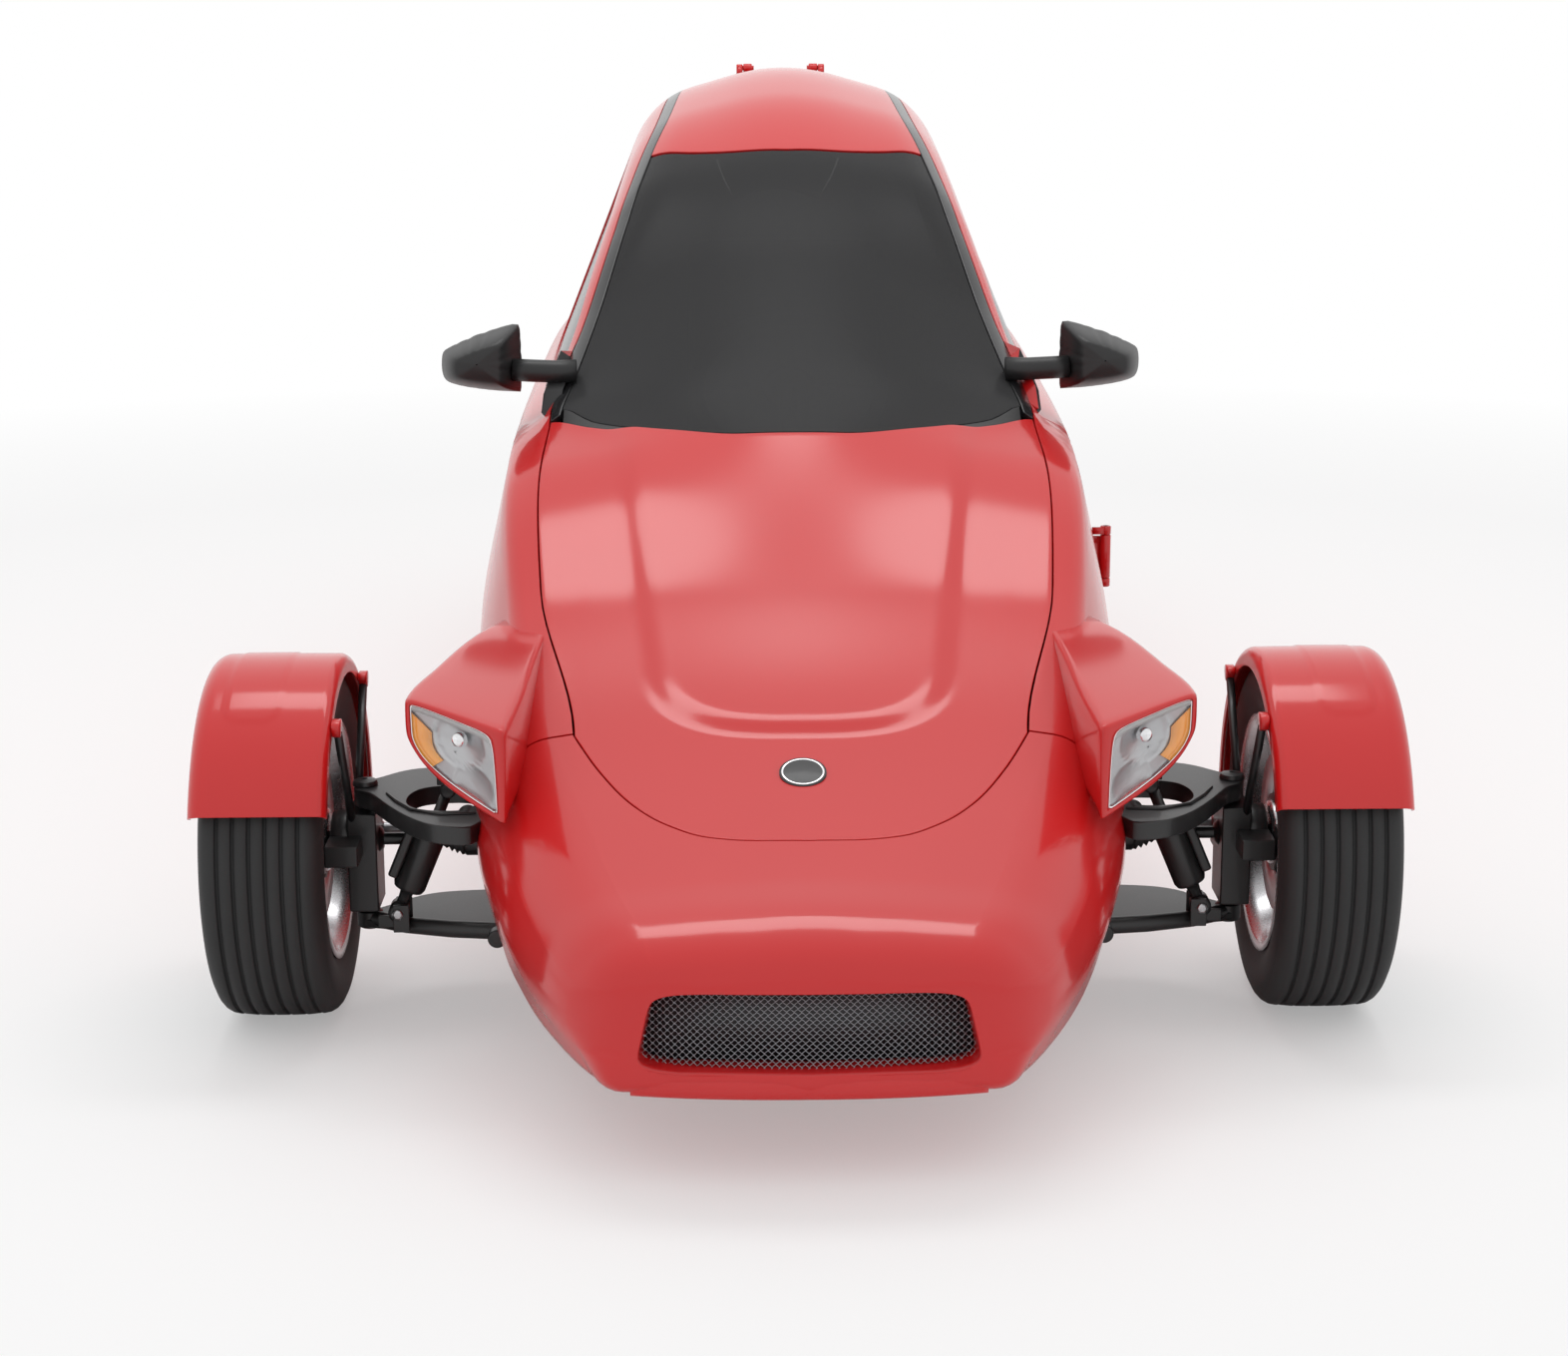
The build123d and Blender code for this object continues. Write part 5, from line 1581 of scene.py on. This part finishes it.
@dataclass
class Suspension:
    """Arms, dampers, shafts, uprights and the brackets on the body."""

    paint: Finishes

    def arms(self) -> None:
        """Upper arm as a wide channel with an oval hole, lower arm as a plate behind a front tube."""
        dark = self.paint.dark_metal
        upper = plate([(452, -232), (512, -226), (549, -198), (582, -150), (607, -104), (640, -36), (667, -20),
                       (667, 20), (640, 36), (604, 84), (566, 102), (452, 106)], 318, 346,
                      [(472, -142), (545, -142), (578, -112), (580, -52), (556, -8), (472, -4)])
        pin = tube([(650, 0, 298), (650, 0, 300), (650, 0, 346), (650, 0, 352), (650, 0, 356)], [8, 8, 8, 8, 5], 20)
        cap = tube([(650, 0, 346), (650, 0, 349), (650, 0, 354), (650, 0, 356)], [19, 19, 17, 6], 32)
        ridge = tube([(470, -160, 347), (520, -164, 347), (566, -140, 347), (594, -92, 347), (612, -50, 347)],
                     [2, 3, 3, 3, 2], 12)
        make("arm_upper", [upper, pin, cap, ridge], "car", dark, ["upper_arms"], both=True, rounding=0.002)
        lower = plate([(432, -62), (520, -54), (612, -32), (662, -18), (667, 2), (660, 22), (620, 60), (575, 112),
                       (505, 128), (432, 128)], 128, 141)
        front = tube([(428, -70, 137), (520, -56, 137), (590, -38, 138), (632, -18, 140), (650, 0, 140)],
                     [13, 13, 12.5, 12.5, 11], 28)
        ball = tube([(650, 0, 124), (650, 0, 127), (650, 0, 150), (650, 0, 156), (650, 0, 180)], [14, 19, 19, 8, 8], 28)
        cheeks = [brick(583, 607, y0, y0 + 5, 136, 178) for y0 in (-69, -26)]
        web = brick(606, 632, -50, -43, 138, 156)
        make("arm_lower", [lower, front, ball, web] + cheeks, "car", dark, ["lower_arms"], both=True, rounding=0.002)

    def pivots(self) -> None:
        """Sleeves on the body that hold the arms and the dampers' heads."""
        sleeves = [stub((x, y0, z), (x, y1, z), r, step=2, chamfer=2) for x, y0, y1, z, r in
                   ((486, -150, -112, 332, 15), (486, 60, 100, 332, 15), (450, -108, -84, 137, 14),
                    (450, 40, 100, 137, 14))]
        heads = [brick(470, 536, -64, -59, 362, 392), brick(470, 536, -31, -26, 362, 392),
                 brick(470, 532, -64, -26, 386, 392)]
        make("arm_pivots", sleeves + heads, "car", self.paint.dark_metal, ["suspension_brackets"],
             both=True, rounding=0.003, segments=3)

    def uprights(self) -> None:
        """Block that carries the hub, with its steering arm, caliper and the fender's stays."""
        core = [brick(631, 675, -42, 42, 160, 311), brick(641, 659, 40, 131, 208.5, 221.5),
                brick(652, 702, -98, -34, 246, 278), brick(703, 709, -147, -72, 229, 296),
                brick(733, 739, -147, -72, 229, 296), brick(703, 739, -147, -131, 229, 296)]
        hub = [stub((669, 0, WHEEL_Z), (700, 0, WHEEL_Z), 44, 48, 2, 2),
               tube([(690, 0, WHEEL_Z), (750, 0, WHEEL_Z), (752, 0, WHEEL_Z)], [12, 12, 10], 28)]
        stays, tabs = [], []
        for s in (-1, 1):
            stays.append(tube([(667, s * 34, 300), (667, s * 90, 384), (667, s * 144, 465)], [6.3, 6.3, 6.3], 18))
            corners = np.array([(s * 150 - 24, 484), (s * 150 + 22, 486), (s * 150 + s * 4, 452)], float)
            outline = corner_cut(corners, 2, True)
            middle = outline.mean(0)
            tabs.append(hoop(np.stack([
                np.concatenate([np.full((len(outline), 1), x), middle + (outline - middle) * k], 1)
                for x, k in ((661, 0.02), (661, 0.94), (662, 1.0), (672.5, 1.0), (673.3, 0.94), (673.3, 0.02))])))
        dark = self.paint.dark_metal
        for side in Side:
            label = side.name.lower()
            for name, parts, coat, nodes, rounding in (
                    ("upright_block", core, dark, [f"knuckle_{label}"], 0.005), ("upright_hub", hub, dark, [], 0.0),
                    ("fender_stays", stays, dark, [], 0.0), ("fender_tabs", tabs, self.paint.red, [], 0.0)):
                sided = parts if side is Side.LEFT else [flipped(part) for part in parts]
                make(f"{name}_{label}", sided, f"upright_{label}", coat, nodes, rounding=rounding, segments=3)

    def dampers(self) -> None:
        """Leaning damper with its spring, a slab reservoir and the bolts at both ends."""
        foot, head = np.array([600.0, -45.0, 164.3]), np.array([521.0, -45.0, 351.7])
        way = head - foot

        def at(share: float) -> Array:
            """Point on the damper's axis."""
            return foot + way * share

        body = tube([at(s) for s in (0.0, 0.10, 0.15, 0.17, 0.18, 0.21, 0.60, 0.63, 0.64, 0.70, 0.72, 1.0)],
                    [9, 9, 10, 14, 22, 24.5, 24.5, 22, 14, 13, 9, 8], 36)
        eyes = [stub(end - (0, reach, 0), end + (0, reach, 0), radius, chamfer=4)
                for end, reach, radius in ((foot, 18, 15), (head, 13, 12))]
        across = np.cross(way / np.linalg.norm(way), (0, 1, 0))
        slab = np.array([at(s) - across * c + (0, d, 0) for s in (0.24, 0.62) for c in (21.0, 36.0) for d in (-20, 20)])
        slab_faces = np.array([(0, 1, 3, 2), (4, 6, 7, 5), (0, 4, 5, 1), (2, 3, 7, 6), (0, 2, 6, 4), (1, 5, 7, 3)])
        make("damper_pair", [body] + eyes, "car", self.paint.dark_metal, ["shocks"],
             both=True)
        make("damper_reservoirs", [(slab, slab_faces)], "car", self.paint.dark_metal, both=True,
             rounding=0.004, segments=3)
        bolt = tube([foot + (0, d, 0) for d in (-27, -26.5, -21, -20.5, -15)], [5, 8.5, 8.5, 5, 5], 6)
        make("damper_bolts", [bolt], "car", self.paint.steel, both=True)

    def shafts(self) -> None:
        """Half shafts with pleated boots."""
        shaft = tube([(430, 0, 262), (440, 0, 262), (640, 0, 262), (650, 0, 262)], [9, 9, 9, 9], 28)
        cup = tube([(440, 0, 262), (452, 0, 262), (500, 0, 262), (505, 0, 262)], [24, 26, 26, 22], 32)
        ball = tube([(650 + a, 0, 262) for a in (-27, -24, -16, 0, 16, 24, 27)], [6, 14.4, 23, 28, 23, 14.4, 6], 28)
        make("shaft_pair", [shaft, cup, ball], "car", self.paint.dark_metal, ["half_shafts"], both=True,
             slot="bare_steel")
        pleats = [(503, 24), (507, 25), (511, 19), (515, 23), (519, 16), (523, 20), (527, 13), (531, 15), (535, 11.5),
                  (540, 11)]
        boot = tube([(x, 0, 262) for x, _ in pleats], [r for _, r in pleats], 32)
        make("shaft_boots", [boot], "car", self.paint.trim, both=True)

    def build(self) -> None:
        """Builds the parts between the body and the front wheels."""
        self.arms()
        self.pivots()
        self.uprights()
        self.dampers()
        self.shafts()


@dataclass
class Cabin:
    """Steering wheel, dashboard and the padded seats, seen through the glass."""

    paint: Finishes

    def hand_wheel(self) -> None:
        """Steering wheel with a padded rim, hub and three spokes on its column."""
        top = np.array([0.0, 985.0, 800.0])
        way = np.array([0.0, 985.0 - 160.0, 800.0 - 268.4])
        way /= np.linalg.norm(way)
        across, up = np.array([1.0, 0, 0]), np.cross(way, np.array([1.0, 0, 0]))
        up = up if up[2] > 0 else -up
        angle = np.arange(96) * 2 * np.pi / 96
        middle = top[None, :] + 165.0 * (np.cos(angle)[:, None] * across + np.sin(angle)[:, None] * up)
        ring_angle = np.arange(18) * 2 * np.pi / 18
        radial = (middle - top) / 165.0
        ring = middle[:, None, :] + 12.5 * (np.cos(ring_angle)[None, :, None] * radial[:, None, :]
                                          + np.sin(ring_angle)[None, :, None] * way)
        index = np.arange(96 * 18).reshape(96, 18)
        a, b = np.roll(index, -1, 0), np.roll(index, -1, 1)
        faces = np.stack([index, a, np.roll(a, -1, 1), b], -1).reshape(-1, 4)
        spokes = []
        for turn in (0.0, np.pi, -np.pi / 2):
            out = math.cos(turn) * across + math.sin(turn) * up
            spokes.append(tube([top + out * r + way * h for r, h in ((30, 14), (70, 9), (120, 4), (160, 0))],
                               [14, 12, 10, 10], 16, (1.0, 0.5)))
        hub = tube([top + way * d for d in (0.3, 3, 12, 20, 24)], [44, 45, 45, 40, 20], 40)
        make("hand_wheel_rim", [(ring, faces), hub] + spokes, "hand_wheel", self.paint.black,
             ["steering_wheel"])

    def dashboard(self) -> None:
        """Dashboard with a hooded instrument pod."""
        x = np.linspace(-1, 1, 61)
        rows = np.array([(545, 645), (560, 700), (585, 735), (640, 744), (640, 700), (625, 650), (545, 645)], float)
        line = corner_cut(rows, 2)
        p = np.stack([np.stack([np.full(len(line), 392.0 * k), line[:, 0] + 30 * abs(k) ** 3, line[:, 1] - 24 * k * k],
                               -1) for k in x])
        hood = brick(-150, 150, 632, 758, 700, 745)
        make("dash_board", [sheet(p), hood], "car", self.paint.trim, ["dashboard"], rounding=0.006,
             segments=3)

    def seats(self) -> None:
        """Cushions and backs of both seats: crowned pads with sewn channels and a piped rim.

        A pad is a closed sheet over its outline. It falls off towards both sides by the sixth
        power of the distance from its middle, and each sewn channel sinks by a narrow bell curve.
        """
        pads = (("cushion_front", 206.0, [(1232, 264), (1636, 264), (1636, 390), (1440, 398), (1242, 408)],
                 (0.0, 1.0), "seat_cushions"),
                ("cushion_rear", 191.0, [(2004, 264), (2336, 264), (2336, 380), (2170, 388), (2004, 396)],
                 (0.0, 1.0), ""),
                ("back_front", 196.0, [(1645, 264), (1738, 264), (1876, 800), (1888, 986), (1834, 996), (1784, 790)],
                 (-0.93, 0.36), "seat_backs"),
                ("back_rear", 186.0, [(2345, 264), (2432, 264), (2466, 560), (2554, 928), (2504, 936), (2410, 560)],
                 (-0.96, 0.28), ""))
        for name, half, outline, facing, node in pads:
            line = corner_cut(np.array(outline, float), 3, True)
            length = np.linalg.norm(np.roll(line, -1, 0) - line, axis=1)
            place = np.concatenate([[0.0], np.cumsum(length)])
            even = np.linspace(0, place[-1], 241)[:-1]
            ring = np.stack([np.interp(even, place, np.append(line[:, k], line[0, k])) for k in (0, 1)], 1)
            centre = ring.mean(0)
            way = np.roll(ring, -1, 0) - np.roll(ring, 1, 0)
            out = np.stack([way[:, 1], -way[:, 0]], 1) / np.linalg.norm(way, axis=1)[:, None]
            out = out * np.sign(((ring - centre) * out).sum(1).mean())
            u = np.sin(np.linspace(-1, 1, 91) * np.pi / 2)
            face = np.clip(out @ np.array(facing), 0, 1) ** 2
            crown = 1 - np.abs(u) ** 6
            channels = sum(np.exp(-((u * half - c) / 5.0) ** 2) for c in (-112.0, -56.0, 0.0, 56.0, 112.0))
            rim = np.exp(-((np.abs(u) - 0.93) * half / 4.0) ** 2)
            puff = (-9.0 * (1 - crown) - 2.5 * rim)[:, None] + (-5.5 * channels)[:, None] * face[None, :]
            puff = puff - 3.0
            yz = ring[None] + out[None] * puff[..., None]
            grid = np.concatenate([np.broadcast_to((u * half * 0.985)[:, None, None], yz.shape[:2] + (1,)), yz], 2)
            caps = []
            for row, sign in ((grid[0], -1.0), (grid[-1], 1.0)):
                mid = row.mean(0) + (sign * half * 0.012, 0, 0)
                caps.append(np.stack([mid + (row - mid) * k + (sign * half * 0.012 * (1 - k), 0, 0)
                                      for k in ((0.02, 0.5, 0.85, 0.96) if sign < 0 else (0.96, 0.85, 0.5, 0.02))]))
            whole = np.concatenate([caps[0], grid, caps[1]])
            make(name, [hoop(whole)], "car", self.paint.fabric, [node] if node else [])

    def build(self) -> None:
        """Builds the cabin."""
        self.hand_wheel()
        self.dashboard()
        self.seats()


@dataclass
class KeptNodes:
    """CAD meshes that stay as they are and only get their finish."""

    paint: Finishes

    def build(self) -> None:
        """Gives every kept CAD mesh its slot's finish."""
        paint = self.paint
        kept = {"swing_arm": paint.dark_metal, "rear_wheel_well": paint.black, "rack_bar": paint.steel,
                "rack_housing": paint.alloy, "engine_block": paint.cast, "steering_column": paint.steel,
                "seat_bases": paint.black}
        for node, coat in kept.items():
            materials = bpy.data.objects[node].data.materials
            for index in range(len(materials)):
                materials[index] = coat.material
            if not len(materials):
                materials.append(coat.material)


@dataclass
class Studio:
    """Pale floor, one soft overhead light and the camera that took the photograph."""

    position: tuple[float, float, float] = (-0.072, -5.552, 1.520)
    pitch: float = 13.5
    yaw: float = 0.674
    roll: float = -0.259
    focal_px: float = 2929.0
    width_px: int = 1572

    def floor(self) -> None:
        """Plain floor far wider than the view."""
        corners = np.array([(-40, -40, 0), (40, -40, 0), (40, 40, 0), (-40, 40, 0)], float)
        data = bpy.data.meshes.new("floor")
        data.from_pydata(corners.tolist(), [], [(0, 1, 2, 3)])
        floor = bpy.data.objects.new("floor", data)
        bpy.context.scene.collection.objects.link(floor)
        material = bpy.data.materials.new("floor_white")
        kit = NodeKit(material)
        kit.set(Base_Color=(0.93, 0.93, 0.93, 1), Roughness=0.7)
        x, y = kit.axis(0), kit.axis(1)
        far = (((x * x + y * y) ** 0.5 - 2.2) * 0.28).largest(0.35).smallest(1.0)
        glow = kit.node("ShaderNodeEmission", {}, {"Color": (1, 1, 1, 1), "Strength": 1.0})
        kit.blend(far * kit.ray("Camera"), Socket(kit, kit.shader.outputs[0]), glow)
        data.materials.append(material)

    @staticmethod
    def light(place: tuple[float, float, float], aim: tuple[float, float, float], size: tuple[float, float],
              power: float) -> None:
        """Adds a rectangular soft light.

        Args:
            place: Where it stands.
            aim: The point that it faces.
            size: Width and height in metres.
            power: Watts.
        """
        lamp = bpy.data.lights.new("light_over", "AREA")
        lamp.shape = "RECTANGLE"
        lamp.size, lamp.size_y = size
        lamp.energy = power
        holder = bpy.data.objects.new("light_over", lamp)
        bpy.context.scene.collection.objects.link(holder)
        holder.location = place
        way = np.array(aim, float) - np.array(place, float)
        holder.rotation_euler = Vector(way.tolist()).to_track_quat("-Z", "Y").to_euler()

    @staticmethod
    def world() -> None:
        """White for camera, mirror and glass rays, soft grey as a light."""
        world = bpy.data.worlds.new("studio")
        bpy.context.scene.world = world
        kit = NodeKit(world)
        ramp = {0: kit.axis(2, "Generated"), 1: -0.15, 2: 0.95, 3: 0.56, 4: 0.95}
        grey = kit.node("ShaderNodeMapRange", {"interpolation_type": "SMOOTHSTEP"}, ramp)
        lit, seen = (kit.node("ShaderNodeBackground", {}, {0: (1, 1, 1, 1), 1: strength}) for strength in (grey, 1.0))
        kit.blend(kit.ray("Camera").largest(kit.ray("Glossy")).largest(kit.ray("Transmission")), lit, seen)

    def camera(self) -> None:
        """Camera with the photograph's place, direction and focal length."""
        data = bpy.data.cameras.new("camera")
        data.sensor_fit = "HORIZONTAL"
        data.sensor_width = 36.0
        data.lens = self.focal_px / self.width_px * 36.0
        holder = bpy.data.objects.new("camera", data)
        bpy.context.scene.collection.objects.link(holder)
        yaw, pitch, roll = (math.radians(a) for a in (self.yaw, self.pitch, self.roll))
        forward = np.array([math.sin(yaw) * math.cos(pitch), math.cos(yaw) * math.cos(pitch), -math.sin(pitch)])
        right = np.array([math.cos(yaw), -math.sin(yaw), 0.0])
        up = np.cross(right, forward)
        r = math.cos(roll) * right + math.sin(roll) * up
        u = -math.sin(roll) * right + math.cos(roll) * up
        turn = Matrix(np.stack([r, u, -forward], 1).tolist()).to_4x4()
        turn.translation = self.position
        holder.matrix_world = turn
        bpy.context.scene.camera = holder

    def build(self) -> None:
        """Sets up the view."""
        scene = bpy.context.scene
        scene.view_settings.view_transform = "Standard"
        self.floor()
        self.world()
        self.camera()
        self.light((0.0, -0.06, 4.3), (0, -0.05, 0.5), (3.2, 1.1), 42)


def main() -> None:
    """Builds every sub-assembly, then the view."""
    logging.basicConfig(level=logging.INFO, format="%(name)s: %(message)s")
    paint = Finishes()
    for part in (Bodywork(paint), Lamps(paint), Wheels(paint), Suspension(paint), Cabin(paint), KeptNodes(paint)):
        LOG.info("building %s", type(part).__name__)
        part.build()
    Studio().build()


if __name__ == "__main__":
    main()
